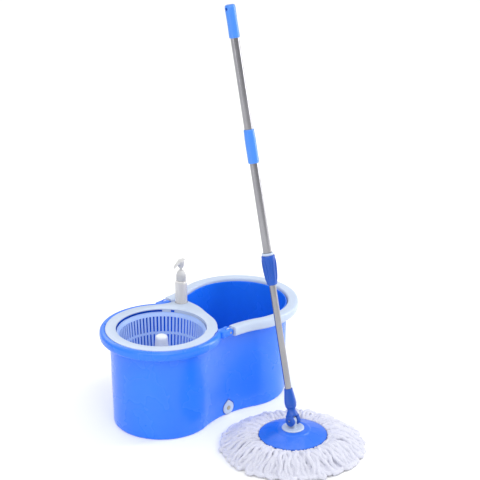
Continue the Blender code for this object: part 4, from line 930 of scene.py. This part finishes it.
class SPINMOP_OT_deck(Operator):
    """Make the splash deck with its inner skirt and the bottle's cup"""

    bl_idname = "spinmop.deck"
    bl_label = "Splash deck"

    def execute(self, context):
        low = SEAT + DECK_GAP
        circle = circle_points(DECK_OPENING, 144, (-HALF, 0.0))
        inner = 0.0140
        well = circle_points(inner, 48, BOTTLE_AT)
        top = plate("deck_plate", [deck_outline(0.0), circle, well], low, DECK_TOP, 0.0011)
        cup_low = DECK_TOP - 0.0055
        cup = turned("cup", [(0.0, cup_low, 0), (WELL_RADIUS - 0.0001, cup_low, 0.0012),
                             (WELL_RADIUS - 0.0001, low + 0.0010, 0), (inner, low + 0.0010, 0),
                             (inner, cup_low + 0.0015, 0.0004), (0.0, cup_low + 0.0015, 0)],
                     64, centre=BOTTLE_AT)
        parts = [top, cup, self.skirt(-62, 32), self.skirt(37, 48)]
        piece("deck_ring", parts, "deck", "splash_deck", ["splash_deck"], 40.0)
        return {"FINISHED"}

    @staticmethod
    def skirt(start, end):
        """A wall that hangs from the opening's edge, between two angles in degrees."""
        section = ((0.0, 0.0012), (0.0, 0.0128), (0.0006, 0.0130), (0.0018, 0.0130), (0.0022, 0.0126),
                   (0.0022, 0.0012))
        loops = []
        for angle in (math.radians(start + k) for k in range(end - start + 1)):
            cosine, sine = math.cos(angle), math.sin(angle)
            loops.append([(-HALF + (DECK_OPENING + out) * cosine, (DECK_OPENING + out) * sine,
                           DECK_TOP - down) for out, down in section])
        return skinned("skirt", loops)


class SPINMOP_OT_basket(Operator):
    """Make the spin basket: two tiers of slots, the solid rings between them and the domed hub"""

    bl_idname = "spinmop.basket"
    bl_label = "Spin basket"

    def execute(self, context):
        count = context.scene.spin_mop_sizes.slots
        top, floor = BASKET_TOP, BASKET_TOP - BASKET_DEPTH
        wall_low, wall_high = 0.0850, 0.0925
        slope = (wall_high - wall_low) / (top - floor)

        def wall(z):
            return wall_low + slope * (z - floor)

        half = math.pi / count
        slot = half * 0.46
        columns = (-half, -slot, -slot * 0.5, slot * 0.5, slot, half)
        bm = bmesh.new()
        tiers = ((top - 0.0090, top - 0.0450), (top - 0.0500, top - 0.0840))
        heights = []
        for high, low in tiers:
            heights += [high, high - 0.0010, low + 0.0010, low]
        rim = rounded([(0.0950, top, 0), (0.0949, top - 0.0020, 0.0010),
                       (wall(top - 0.0090), top - 0.0090, 0)], 3)
        lines = [*rim[:-1], *[(wall(z), z) for z in heights]]
        first_slot = len(rim) - 1
        lines += rounded([(wall(floor + 0.0050), floor + 0.0060, 0), (wall(floor), floor, 0.0040),
                          (0.0330, floor, 0.0040), (0.0225, floor + 0.0200, 0.0080),
                          (0.0165, floor + 0.0380, 0.0100), (0.0143, top - 0.0250, 0.0060),
                          (0.0138, top - 0.0160, 0.0040),
                          (0.0095, top - 0.0127, 0.0040), (0.0, top - 0.0125, 0)], 4)
        rows = []
        for radius, z in lines:
            rows.append([bm.verts.new((radius * math.cos(a), radius * math.sin(a), z)) for a in columns])
        for i in range(len(rows) - 1):
            tier_row = i - first_slot
            opening = tier_row in (0, 1, 2, 4, 5, 6)
            ends = tier_row in (0, 2, 4, 6)
            for k in range(5):
                if opening and k == 2 or opening and not ends and k in (1, 3):
                    continue
                face = [rows[i][k], rows[i][k + 1], rows[i + 1][k + 1], rows[i + 1][k]]
                if ends and k in (1, 3):
                    at_top = tier_row in (0, 4)
                    drop = {(1, True): 2, (1, False): 1, (3, True): 3, (3, False): 0}[(k, at_top)]
                    face.pop(drop)
                bm.faces.new(face)
        bmesh.ops.remove_doubles(bm, verts=bm.verts, dist=1e-7)
        bmesh.ops.dissolve_degenerate(bm, edges=bm.edges, dist=1e-7)
        wedge = bpy.data.meshes.new("wedge")
        bm.to_mesh(wedge)
        bm.free()
        skin = grown_from(wedge, "repeat", "basket", Count=count, Weld_distance=0.00002)
        bm = bmesh.new()
        bm.from_mesh(skin)
        skin = mesh_of(bm, "skin", 0.00002)
        thing = shown("work", skin)
        outermost = max(skin.polygons, key=lambda face: face.center.xy.length)
        outward = outermost.normal.xy.dot(outermost.center.xy) > 0
        thicken = thing.modifiers.new("Wall", "SOLIDIFY")
        thicken.thickness = 0.0019
        thicken.offset = 1.0 if outward else -1.0
        frozen(thing)
        walls = thing.data
        bpy.data.objects.remove(thing, do_unlink=True)
        made = piece("basket_slotted", [walls], "basket", "spin_basket", ["spin_basket"],
                     40.0, Matrix.Translation((-HALF, 0, 0)))
        made.data.validate()
        return {"FINISHED"}


# ------------------------------------------------------------ the soap pump
class SPINMOP_OT_pump_bottle(Operator):
    """Make the milky soap bottle, its ribbed cap and the pump's head with its bent nozzle"""

    bl_idname = "spinmop.pump_bottle"
    bl_label = "Soap bottle and pump"

    def execute(self, context):
        sizes = context.scene.spin_mop_sizes
        at = BOTTLE_AT.xy
        low, neck_top = BOTTLE_LOW.z, BOTTLE_HIGH.z
        shoulder = neck_top - 0.0090
        radius, wall, neck = 0.0135, 0.0012, 0.0080
        bore, throat = radius - wall, neck - wall
        inside = [(0.0, low + wall, 0), (bore - 0.0010, low + wall, 0.002),
                  (bore, low + wall + 0.0015, 0.001), (bore, shoulder - 0.0055, 0.003),
                  (throat, shoulder - wall, 0.001), (throat, neck_top, 0.0003)]
        outside = [(neck, neck_top, 0.0003), (neck, shoulder, 0.0008),
                   (radius - 0.0020, shoulder - 0.0012, 0.002), (radius, shoulder - 0.0045, 0.003),
                   (radius, low + 0.0015, 0.001),
                   (radius - 0.0015, low, 0.001), (0.0, low, 0)]
        shell = turned("shell", inside + outside, 72, 4, at)
        piece("bottle_shell", [shell], "bottle", "soap_bottle", ["soap_bottle"], 40.0)

        cap_low, cap_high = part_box("pump_cap")
        base, top = cap_low.z, cap_high.z
        hole, cap_radius = 0.0033, 0.0102
        inner, roof = neck + 0.0003, neck_top + 0.0003
        body = ring_mesh("cap", [(cap_radius, base, 0.0004), (cap_radius, top - 0.0092, 0.0008),
                                 (0.0090, top - 0.0045, 0.0014), (0.0055, top, 0.0010)],
                         [(hole, top, 0.0002), (hole, roof, 0.0002), (inner, roof, 0.0002),
                          (inner, base, 0.0002)], 72)
        rise = top - 0.0098 - base
        rib_at = (cap_radius + 0.0001, 0.0, base + rise / 2 + 0.0002)
        rib = block("rib", rib_at, (0.0010, 0.0012, rise - 0.0006), 0.0003, 2)
        ribs = grown_from(rib, "repeat", "pump", Count=sizes.cap_ribs, Weld_distance=0.0)
        piece("cap_ribbed", [body, ribs], "pump", "soap_bottle", ["pump_cap"], 35.0,
              Matrix.Translation((*at, 0.0)))

        _, head_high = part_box("pump_head")
        crown = head_high.z
        head_low = top + 0.0070
        stalk = turned("stalk", [(0.0, crown, 0), (0.0068, crown - 0.0006, 0.0016),
                                 (0.0080, crown - 0.0032, 0.0022), (0.0072, head_low + 0.0070, 0.0030),
                                 (0.0055, head_low, 0.0008), (0.0, head_low, 0)], 48)
        loops = []
        for k in range(17):
            t = k / 16
            x = -0.0020 - 0.0164 * t
            z = crown - 0.0056 - 0.0078 * t * t
            size = 0.0060 - 0.0026 * t
            loops.append([(x + 0.5 * size * math.sin(a) * t, size * math.cos(a), z + size * math.sin(a))
                          for a in (math.tau * m / 24 for m in range(24))])
        spout = skinned("spout", loops)
        tab = block("tab", (0.0060, 0.0, crown - 0.0016), (0.0090, 0.0100, 0.0026), 0.0009)
        mouth = barrel("mouth", (-0.0186, 0.0, crown - 0.0137), 0.0010, 0.0050, (0.6, 0, 0.8), 0.0001, 24)
        head = combined(stalk, [("UNION", spout), ("UNION", tab), ("DIFFERENCE", mouth)])
        piece("pump_head_nozzle", [head], "pump", "pump_head", ["pump_head"], 32.0,
              Matrix.Translation((*at, 0.0)))
        return {"FINISHED"}


# ------------------------------------------------------------ the pole
def tube_mesh(name, radius, wall, low, high):
    edge, bore = wall * 0.4, radius - wall
    return ring_mesh(name, [(radius, high, edge), (radius, low, edge)],
                     [(bore, low, edge), (bore, high, edge)])


class SPINMOP_OT_pole(Operator):
    """Make the pole: three tubes, the fluted lock collar, the coupling and the top grip"""

    bl_idname = "spinmop.pole"
    bl_label = "Pole"

    def execute(self, context):
        flutes = context.scene.spin_mop_sizes.flutes
        for name, radius, wall, low, high, body, cad in (
                ("tube_lower", 0.0072, 0.0010, 0.0403, 0.3950, "drive_shaft", "lower_tube"),
                ("tube_middle", 0.0090, 0.0006, 0.3050, 0.5962, "outer_pole", "middle_tube"),
                ("tube_upper", 0.0090, 0.0006, 0.5965, 0.8720, "outer_pole", "upper_tube")):
            tube = tube_mesh(name, radius, wall, low, high)
            piece(name, [tube], "tube", body, [cad], 40.0, ON_POLE)

        low, high, out = 0.3000, 0.3640, 0.0146
        outer = [(out - 0.0014, high, 0.0008), (out - 0.0002, high - 0.0018, 0.0012),
                 (out, high - 0.0060, 0.003), (out - 0.0012, low + 0.0320, 0.010),
                 (out - 0.0030, low + 0.0060, 0.004), (out - 0.0038, low + 0.0016, 0.0010),
                 (out - 0.0050, low, 0.0004)]
        inner = [(0.0075, low, 0.0003), (0.0075, low + 0.0040, 0.0003), (0.00915, low + 0.0040, 0.0003),
                 (0.00915, high, 0.0003)]
        body = ring_mesh("collar", outer, inner, 84, 5)
        loops = []
        for k in range(13):
            t = k / 12
            swell = math.sin(math.pi * min(max(t, 0.02), 0.98)) ** 0.35
            base = out - 0.0030 + 0.0028 * t - 0.0004
            z = low + 0.0080 + 0.0480 * t
            loops.append([(base + 0.0025 * swell * math.cos(a), 0.0017 * swell * math.sin(a), z)
                          for a in (math.tau * m / 10 for m in range(10))])
        rib = skinned("flute", loops)
        ribs = grown_from(rib, "repeat", "fittings", Count=flutes, Weld_distance=0.0)
        piece("collar_fluted", [body, ribs], "fittings", "lock_collar", ["lock_collar"], 35.0,
              ON_POLE)
        low, high, fit = 0.3643, 0.3690, 0.0093
        ring = ring_mesh("ring", [(0.0117, high, 0.0008), (0.0125, high - 0.0010, 0.0008),
                                  (0.0125, low, 0.0003)], [(fit, low, 0.0002), (fit, high, 0.0002)])
        piece("collar_white_ring", [ring], "deck", "outer_pole", ["collar_ring"], 35.0, ON_POLE)

        low, high, out = 0.5610, 0.6320, 0.0118
        outer = [(out - 0.0018, high, 0.0008), (out - 0.0008, high - 0.0015, 0.0010),
                 (out - 0.0004, high - 0.0140, 0.004), (out, high - 0.0180, 0.004),
                 (out, low + 0.0040, 0.0015), (out - 0.0002, low + 0.0010, 0.0006),
                 (out - 0.0008, low, 0.0003)]
        sleeve = ring_mesh("coupling", outer, [(fit, low, 0.0002), (fit, high, 0.0002)])
        piece("pole_sleeve", [sleeve], "grip", "outer_pole", ["pole_coupling"], 35.0, ON_POLE)

        low, high, out = 0.8220, 0.8900, 0.01125
        seat = low + 0.0503
        profile = [(0.0, high, 0), (out - 0.0030, high, 0.0014), (out - 0.0006, high - 0.0024, 0.0020),
                   (out, high - 0.0080, 0.004), (out - 0.0005, low + 0.0300, 0.02),
                   (out, low + 0.0015, 0.0008), (out - 0.0008, low, 0.0004), (fit, low, 0.0002),
                   (fit, seat, 0.0002), (0.0, seat, 0)]
        hole = barrel("hang", (0, 0, high - 0.0085), 0.0032, 0.0600, ALONG, 0.0001, 40)
        grip = combined(turned("grip", profile, 80, 4), [("DIFFERENCE", hole)])
        piece("grip_top", [grip], "grip", "outer_pole", ["top_grip"], 32.0, ON_POLE)
        return {"FINISHED"}


class SPINMOP_OT_joint(Operator):
    """Make the pole's socket and the yoke that the head tilts on"""

    bl_idname = "spinmop.joint"
    bl_label = "Socket and yoke"

    def execute(self, context):
        start, end = 0.0273, 0.0710
        bore = 0.0075
        outer = [(bore, end, 0.0002), (bore + 0.0012, end, 0.0004), (bore + 0.0016, end - 0.0030, 0.0030),
                 (0.0124, start + 0.0170, 0.0080), (0.0127, start + 0.0100, 0.0030)]
        groove_edge = 0.0003
        for radius, rise in ((0.0122, 0.0084), (0.0114, 0.0082), (0.0114, 0.0068), (0.0121, 0.0066),
                             (0.0119, 0.0044), (0.0109, 0.0042), (0.0109, 0.0030), (0.0114, 0.0028)):
            outer.append((radius, start + rise, groove_edge))
        outer += [(0.0096, start, 0.0010), (0.0, start, 0)]
        inner = [(0.0, start + 0.0127, 0), (bore, start + 0.0127, 0.0002)]
        socket = turned("socket", inner + outer, 72, 3)
        piece("socket_tapered", [socket], "fittings", "drive_shaft", ["pole_socket"], 32.0,
              ON_POLE)

        near, thick, ear = 0.0040, 0.0082, 0.0120
        far = near + thick
        bridge_low, bridge_top = 0.0125, 0.0185
        side = near + thick / 2
        ears = [barrel("ear", (x, 0, 0), ear, thick, ALONG, 0.0028) for x in (side, -side)]
        arm = (thick - 0.0004, 0.0200, 0.0130)
        wide = far + 0.0002
        shoulder = turned("shoulder", [(0.0, bridge_low - 0.0012, 0), (wide, bridge_low - 0.0012, 0.0010),
                                       (wide, bridge_low + 0.0012, 0.0030),
                                       (0.0100, bridge_top + 0.0006, 0.0030),
                                       (0.0088, bridge_top + 0.0040, 0.0010), (0.0, bridge_top + 0.0040, 0)])
        steps = [("UNION", ears[1])]
        steps += [("UNION", block("arm", (x, 0, 0.0065), arm, 0.0030, 4)) for x in (-side, side)]
        neck = barrel("neck", (0, 0, 0.0198), 0.0090, 0.0144, UPRIGHT, 0.0006)
        bore = barrel("bore", (0, 0, 0), PIN_HOLE, 0.0600, ALONG, 0.0001, 32)
        steps += [("UNION", shoulder), ("UNION", neck), ("DIFFERENCE", bore)]
        fork = combined(ears[0], steps)
        piece("yoke_fork", [fork], "fittings", "drive_shaft", ["yoke"], 32.0, ON_POLE)
        pin = barrel("pin", (0, 0, 0), 0.0025, 2 * far - 0.0004, ALONG, 0.0005, 32)
        piece("yoke_rivet", [pin], "bright", "drive_shaft", ["yoke_pin"], 32.0, ON_POLE)
        return {"FINISHED"}


# ------------------------------------------------------------ the mop head
DISC_TOP = PIN.z - 0.0185
DISC_EDGE = 0.0380
HUB_AT = Matrix.Translation((PIN.x, PIN.y, 0.0))


class SPINMOP_OT_head(Operator):
    """Make the mop disc with its toothed edge and ribs, and the hub plate with its post"""

    bl_idname = "spinmop.head"
    bl_label = "Mop disc and hub"

    def execute(self, context):
        sizes = context.scene.spin_mop_sizes
        top, edge, thick = DISC_TOP, DISC_EDGE, 0.0030
        teeth = sizes.teeth
        half = math.pi / teeth
        profile = rounded([(0.0028, top, 0), (0.0340, top, 0.002), (0.0370, top - 0.0016, 0.0014),
                           (0.0382, top - 0.0028, 0.0010), (0.0560, edge + 0.0062, 0.010),
                           (0.0690, edge + 0.0014, 0.004)])
        edges = [(0.0722, edge + 0.0004, 0.0), (0.0735, edge - 0.0003, 1.0), (0.0735, edge - 0.0020, 1.0),
                 (0.0728, edge - thick + 0.0001, 0.8), (0.0680, edge - thick + 0.0004, 0.0)]
        under = [(0.0360, top - thick - 0.0010, 0.0), (0.0028, top - thick - 0.0010, 0.0)]
        rows = [(radius, z, 0.0) for radius, z in profile] + edges + under
        angles = (-half, -half * 0.55, -half * 0.25, half * 0.25, half * 0.55, half)
        depth = (1.0, 0.85, 0.0, 0.0, 0.85, 1.0)
        bm = bmesh.new()
        grid = []
        for radius, z, cut in rows:
            line = []
            for angle, bite in zip(angles, depth):
                reach = radius - 0.0019 * cut * bite
                line.append(bm.verts.new((reach * math.cos(angle), reach * math.sin(angle), z)))
            grid.append(line)
        for i in range(len(grid)):
            j = (i + 1) % len(grid)
            for k in range(5):
                bm.faces.new((grid[i][k], grid[i][k + 1], grid[j][k + 1], grid[j][k]))
        wedge = bpy.data.meshes.new("tooth")
        bm.to_mesh(wedge)
        bm.free()
        disc = grown_from(wedge, "repeat", "disc", Count=teeth, Weld_distance=0.00001)
        bm = bmesh.new()
        bm.from_mesh(disc)
        disc = mesh_of(bm, "disc", 0.00001)
        loops = []
        for k in range(15):
            t = k / 14
            radius = 0.0385 + 0.0295 * t
            base = self.skin_height(profile, radius)
            fade = math.sin(math.pi * min(max(t, 0.03), 0.97)) ** 0.4
            loops.append([(radius, 0.0016 * fade * math.cos(a), base - 0.0004 + 0.0010 * fade * math.sin(a))
                          for a in (math.tau * m / 10 for m in range(10))])
        rib = grown_from(skinned("rib", loops), "repeat", "disc", Count=sizes.disc_ribs, Weld_distance=0.0)
        piece("disc_toothed", [disc, rib], "disc", "mop_head", ["mop_disc"], 32.0, HUB_AT)

        plate_top, plate_low = DISC_TOP + 0.0028, DISC_TOP + 0.0003
        hub = turned("hub", [(0.0, plate_top - 0.0006, 0), (0.0165, plate_top - 0.0006, 0.0004),
                             (0.0180, plate_top, 0.0006), (0.0227, plate_top, 0.0010),
                             (0.0240, plate_top - 0.0012, 0.0006), (0.0240, plate_low, 0.0003),
                             (0.0, plate_low, 0)], 80, 3)
        post_size = (0.0070, 0.0172, PIN.z - plate_low - 0.0004)
        post = block("post", (0, 0, (PIN.z + plate_low) / 2), post_size, 0.0008)
        eye = barrel("eye", (0, 0, PIN.z), 0.0088, 0.0072, ALONG, 0.0008)
        bore = barrel("bore", (0, 0, PIN.z), 0.00265, 0.0300, ALONG, 0.0001, 32)
        hole = barrel("screw_hole", (0, 0, plate_low), PIN_HOLE, 0.0120, UPRIGHT, 0.0001, 32)
        body = combined(hub, [("UNION", post), ("UNION", eye), ("DIFFERENCE", bore), ("DIFFERENCE", hole)])
        piece("hub_plate", [body], "deck", "mop_head", ["head_hub"], 32.0, HUB_AT)
        return {"FINISHED"}

    @staticmethod
    def skin_height(profile, radius):
        for (r0, z0), (r1, z1) in zip(profile, profile[1:]):
            if r0 <= radius <= r1:
                return z0 + (z1 - z0) * (radius - r0) / max(r1 - r0, 1e-9)
        return profile[-1][1]


# each layer of strands: start radius and height, reach, crest, tube step, tube sides
LAYERS = {
    "strands_upper": (0.0752, 0.0335, 0.1500, 0.0362, 0.0028, 10),
    "strands_middle": (0.0700, 0.0260, 0.1520, 0.0255, 0.0036, 8),
    "strands_lower": (0.0650, 0.0215, 0.1480, 0.0130, 0.0036, 8),
}
LOWEST = 0.0066                # of a strand's middle, above the floor
LOOP_RADIUS = 0.0060           # of the turn at a strand's outer end


def strand_lines(count, layer, shape, chance):
    """One looped line for each strand: out from the backing ring, over the pile, down and back."""
    start_r, start_z, reach, crest = shape
    spacing = math.tau / count
    lines = []
    for i in range(count):
        angle = math.tau * (i + 0.37 * layer) / count + chance.uniform(-0.35, 0.35) * spacing
        far = reach + chance.uniform(-0.0120, 0.0035) + 0.0075 * math.cos(angle - 0.82)
        gap = chance.uniform(0.030, 0.062)
        rise = crest + chance.uniform(-0.0030, 0.0022)
        sway = chance.uniform(-0.10, 0.10)

        def run(side):
            """One leg of the loop, from the ring outwards, on one side of its middle."""
            leg = []
            for k in range(12):
                t = k / 11
                radius = start_r + (far - LOOP_RADIUS - start_r) * t
                spread = 0.35 + 0.65 * math.sin(math.pi * min(t * 0.62 + 0.06, 1.0))
                bend = sway * t * t + side * gap * spread
                hump = start_z + (rise - start_z) * math.sin(math.pi / 2 * min(t / 0.30, 1.0))
                fall = hump - (rise - 0.0080) * max(0.0, (t - 0.34) / 0.66) ** 1.7
                wave = 0.0026 * math.sin(11.0 * t + i * 1.7 + side)
                under = 0.0028 if side > 0 else 0.0
                leg.append((radius, angle + bend + wave / radius, max(fall - under, LOWEST)))
            return leg

        out, back = run(-1), run(1)
        turn = []
        for k in range(1, 6):
            a = math.pi * k / 6
            radius = far - LOOP_RADIUS + LOOP_RADIUS * math.sin(a)
            place = angle + sway - gap * 0.828 * math.cos(a)
            turn.append((radius, place, max(out[-1][2] - 0.0006 * k, LOWEST)))
        lines.append([(r * math.cos(a), r * math.sin(a), z) for r, a, z in out + turn + back[::-1]])
    return lines


class SPINMOP_OT_strands(Operator):
    """Make the refill: its backing ring and three layers of looped chenille strands"""

    bl_idname = "spinmop.strands"
    bl_label = "Strand refill"

    def execute(self, context):
        sizes = context.scene.spin_mop_sizes
        chance = random.Random(11)
        for layer, (name, (*shape, step, sides)) in enumerate(LAYERS.items()):
            bm = bmesh.new()
            for line in strand_lines(sizes.strands, layer, shape, chance):
                verts = [bm.verts.new(point) for point in line]
                for first, second in zip(verts, verts[1:]):
                    bm.edges.new((first, second))
            paths = bpy.data.meshes.new("paths")
            bm.to_mesh(paths)
            bm.free()
            made = grown_from(paths, "strands", "strands", Radius=sizes.strand_radius,
                              Pile_depth=sizes.pile, Step=step, Sides=sides, Seed=3.0 + layer)
            nodes = ["mop_strands"] if layer == 0 else []
            piece(name, [made], "strands", "strand_refill", nodes, 180.0, HUB_AT)
        top = DISC_EDGE - 0.0033
        low, hole = top - 0.0045, 0.0430
        ring = ring_mesh("backing", [(0.0667, top, 0.0006), (0.0675, top - 0.0010, 0.0006),
                                     (0.0675, low, 0.0004)], [(hole, low, 0.0004), (hole, top, 0.0004)], 96)
        piece("refill_backing", [ring], "hidden", "strand_refill", ["refill_ring"], 35.0,
              HUB_AT)
        return {"FINISHED"}


# ------------------------------------------------------------ pieces kept from the frame
class SPINMOP_OT_fittings(Operator):
    """Give the inner fittings that keep their solid shape their own finishes"""

    bl_idname = "spinmop.fittings"
    bl_label = "Inner fittings"

    def execute(self, context):
        kept = {
            "bright": ("handle_pin_front", "handle_pin_rear", "basket_spindle", "pump_spring", "head_screw"),
            "rod": ("drive_rod", "drive_nut", "stop_ring"),
            "hidden": ("guide_bush", "end_bush", "rod_anchor"),
            "bearing": ("basket_bearing",),
            "pump": ("pump_barrel", "pump_stem"),
            "bottle": ("dip_tube",),
        }
        for finish, names in kept.items():
            for name in names:
                thing = frame["nodes"][name]
                if not thing.material_slots:
                    raise RuntimeError(f"{name} has no material slot")
                for slot in thing.material_slots:
                    slot.material = FINISH[finish]
        return {"FINISHED"}


# ------------------------------------------------------------ floor, light and camera
class SPINMOP_OT_stage(Operator):
    """Lay the pale floor, hang the soft lights and set the camera"""

    bl_idname = "spinmop.stage"
    bl_label = "Stage"

    def execute(self, context):
        scene = context.scene
        bm = bmesh.new()
        bmesh.ops.create_grid(bm, x_segments=1, y_segments=1, size=40.0)
        floor = shown("floor", mesh_of(bm, "floor"))
        made, tree, shader, place = new_material("pale_floor")
        clouds = noise_at(tree, place, 3.0, 2.0)
        tint = mixed(tree, clouds, (0.965, 0.965, 0.960), (0.975, 0.975, 0.970))
        tree.links.new(tint, shader.inputs["Base Color"])
        shader.inputs["Roughness"].default_value = 0.9
        shader.inputs["Specular IOR Level"].default_value = 0.1
        floor.data.materials.append(made)

        world = scene.world or bpy.data.worlds.new("studio")
        scene.world = world
        world.use_nodes = True
        sky = world.node_tree.nodes["Background"]
        sky.inputs["Color"].default_value = (1.0, 1.0, 1.0, 1.0)
        sky.inputs["Strength"].default_value = 0.55
        aim = Vector((0.0, -0.05, 0.3))
        for name, where, size, power in (("key", (-2.0, -2.2, 3.2), (2.8, 2.8), 46.0),
                                         ("side", (2.6, -1.4, 1.4), (0.9, 2.8), 56.0),
                                         ("left", (-3.2, -0.5, 1.3), (0.3, 2.4), 10.0),
                                         ("back", (0.6, 3.0, 2.4), (3.0, 1.2), 26.0)):
            light = bpy.data.lights.new(name, "AREA")
            light.shape = "RECTANGLE"
            light.size, light.size_y = size
            light.energy = power
            lamp = shown(name, light)
            lamp.location = where
            lamp.rotation_euler = (aim - Vector(where)).to_track_quat("-Z", "Y").to_euler()

        sun = bpy.data.lights.new("overcast", "SUN")
        sun.energy, sun.angle = 1.15, math.radians(120)
        shown("overcast", sun).rotation_euler = (math.radians(12), math.radians(-14), 0.0)

        scene.view_settings.view_transform = "Standard"
        camera = bpy.data.cameras.new("camera")
        camera.sensor_width = 36.0
        camera.lens = 136.58625
        camera.clip_start, camera.clip_end = 0.05, 200.0
        eye = shown("camera", camera)
        azimuth, elevation, distance = math.radians(-43.12), math.radians(21.695), 4.689
        back = Vector((math.sin(azimuth) * math.cos(elevation), -math.cos(azimuth) * math.cos(elevation),
                       math.sin(elevation)))
        target = Vector((0.5249, 0.4301, 0.1250))
        eye.location = target + back * distance
        eye.rotation_euler = (-back).to_track_quat("-Z", "Y").to_euler()
        scene.camera = eye
        return {"FINISHED"}


PIECE_OPERATORS = (SPINMOP_OT_bucket, SPINMOP_OT_drain, SPINMOP_OT_handle, SPINMOP_OT_deck,
                   SPINMOP_OT_basket, SPINMOP_OT_pump_bottle, SPINMOP_OT_pole, SPINMOP_OT_joint,
                   SPINMOP_OT_head, SPINMOP_OT_strands, SPINMOP_OT_fittings, SPINMOP_OT_stage)


class SPINMOP_PT_panel(Panel):
    """The spin mop's sizes, colours and pieces"""

    bl_idname = "SPINMOP_PT_panel"
    bl_label = "Spin Mop"
    bl_space_type = "VIEW_3D"
    bl_region_type = "UI"
    bl_category = "Spin Mop"

    def draw(self, context):
        layout = self.layout
        for settings in (context.scene.spin_mop_sizes, context.scene.spin_mop_colours):
            box = layout.box()
            for name in settings.__annotations__:
                box.prop(settings, name)
        for made in PIECE_OPERATORS:
            layout.operator(made.bl_idname)


CLASSES = (SpinMopSizes, SpinMopColours, *PIECE_OPERATORS, SPINMOP_PT_panel)


def register():
    for item in CLASSES:
        bpy.utils.register_class(item)
    bpy.types.Scene.spin_mop_sizes = PointerProperty(type=SpinMopSizes)
    bpy.types.Scene.spin_mop_colours = PointerProperty(type=SpinMopColours)


def unregister():
    del bpy.types.Scene.spin_mop_colours
    del bpy.types.Scene.spin_mop_sizes
    for item in reversed(CLASSES):
        bpy.utils.unregister_class(item)


def main():
    register()
    make_finishes(bpy.context.scene.spin_mop_colours)
    for made in PIECE_OPERATORS:
        group, name = made.bl_idname.split(".")
        getattr(getattr(bpy.ops, group), name)()


if __name__ == "__main__":
    main()
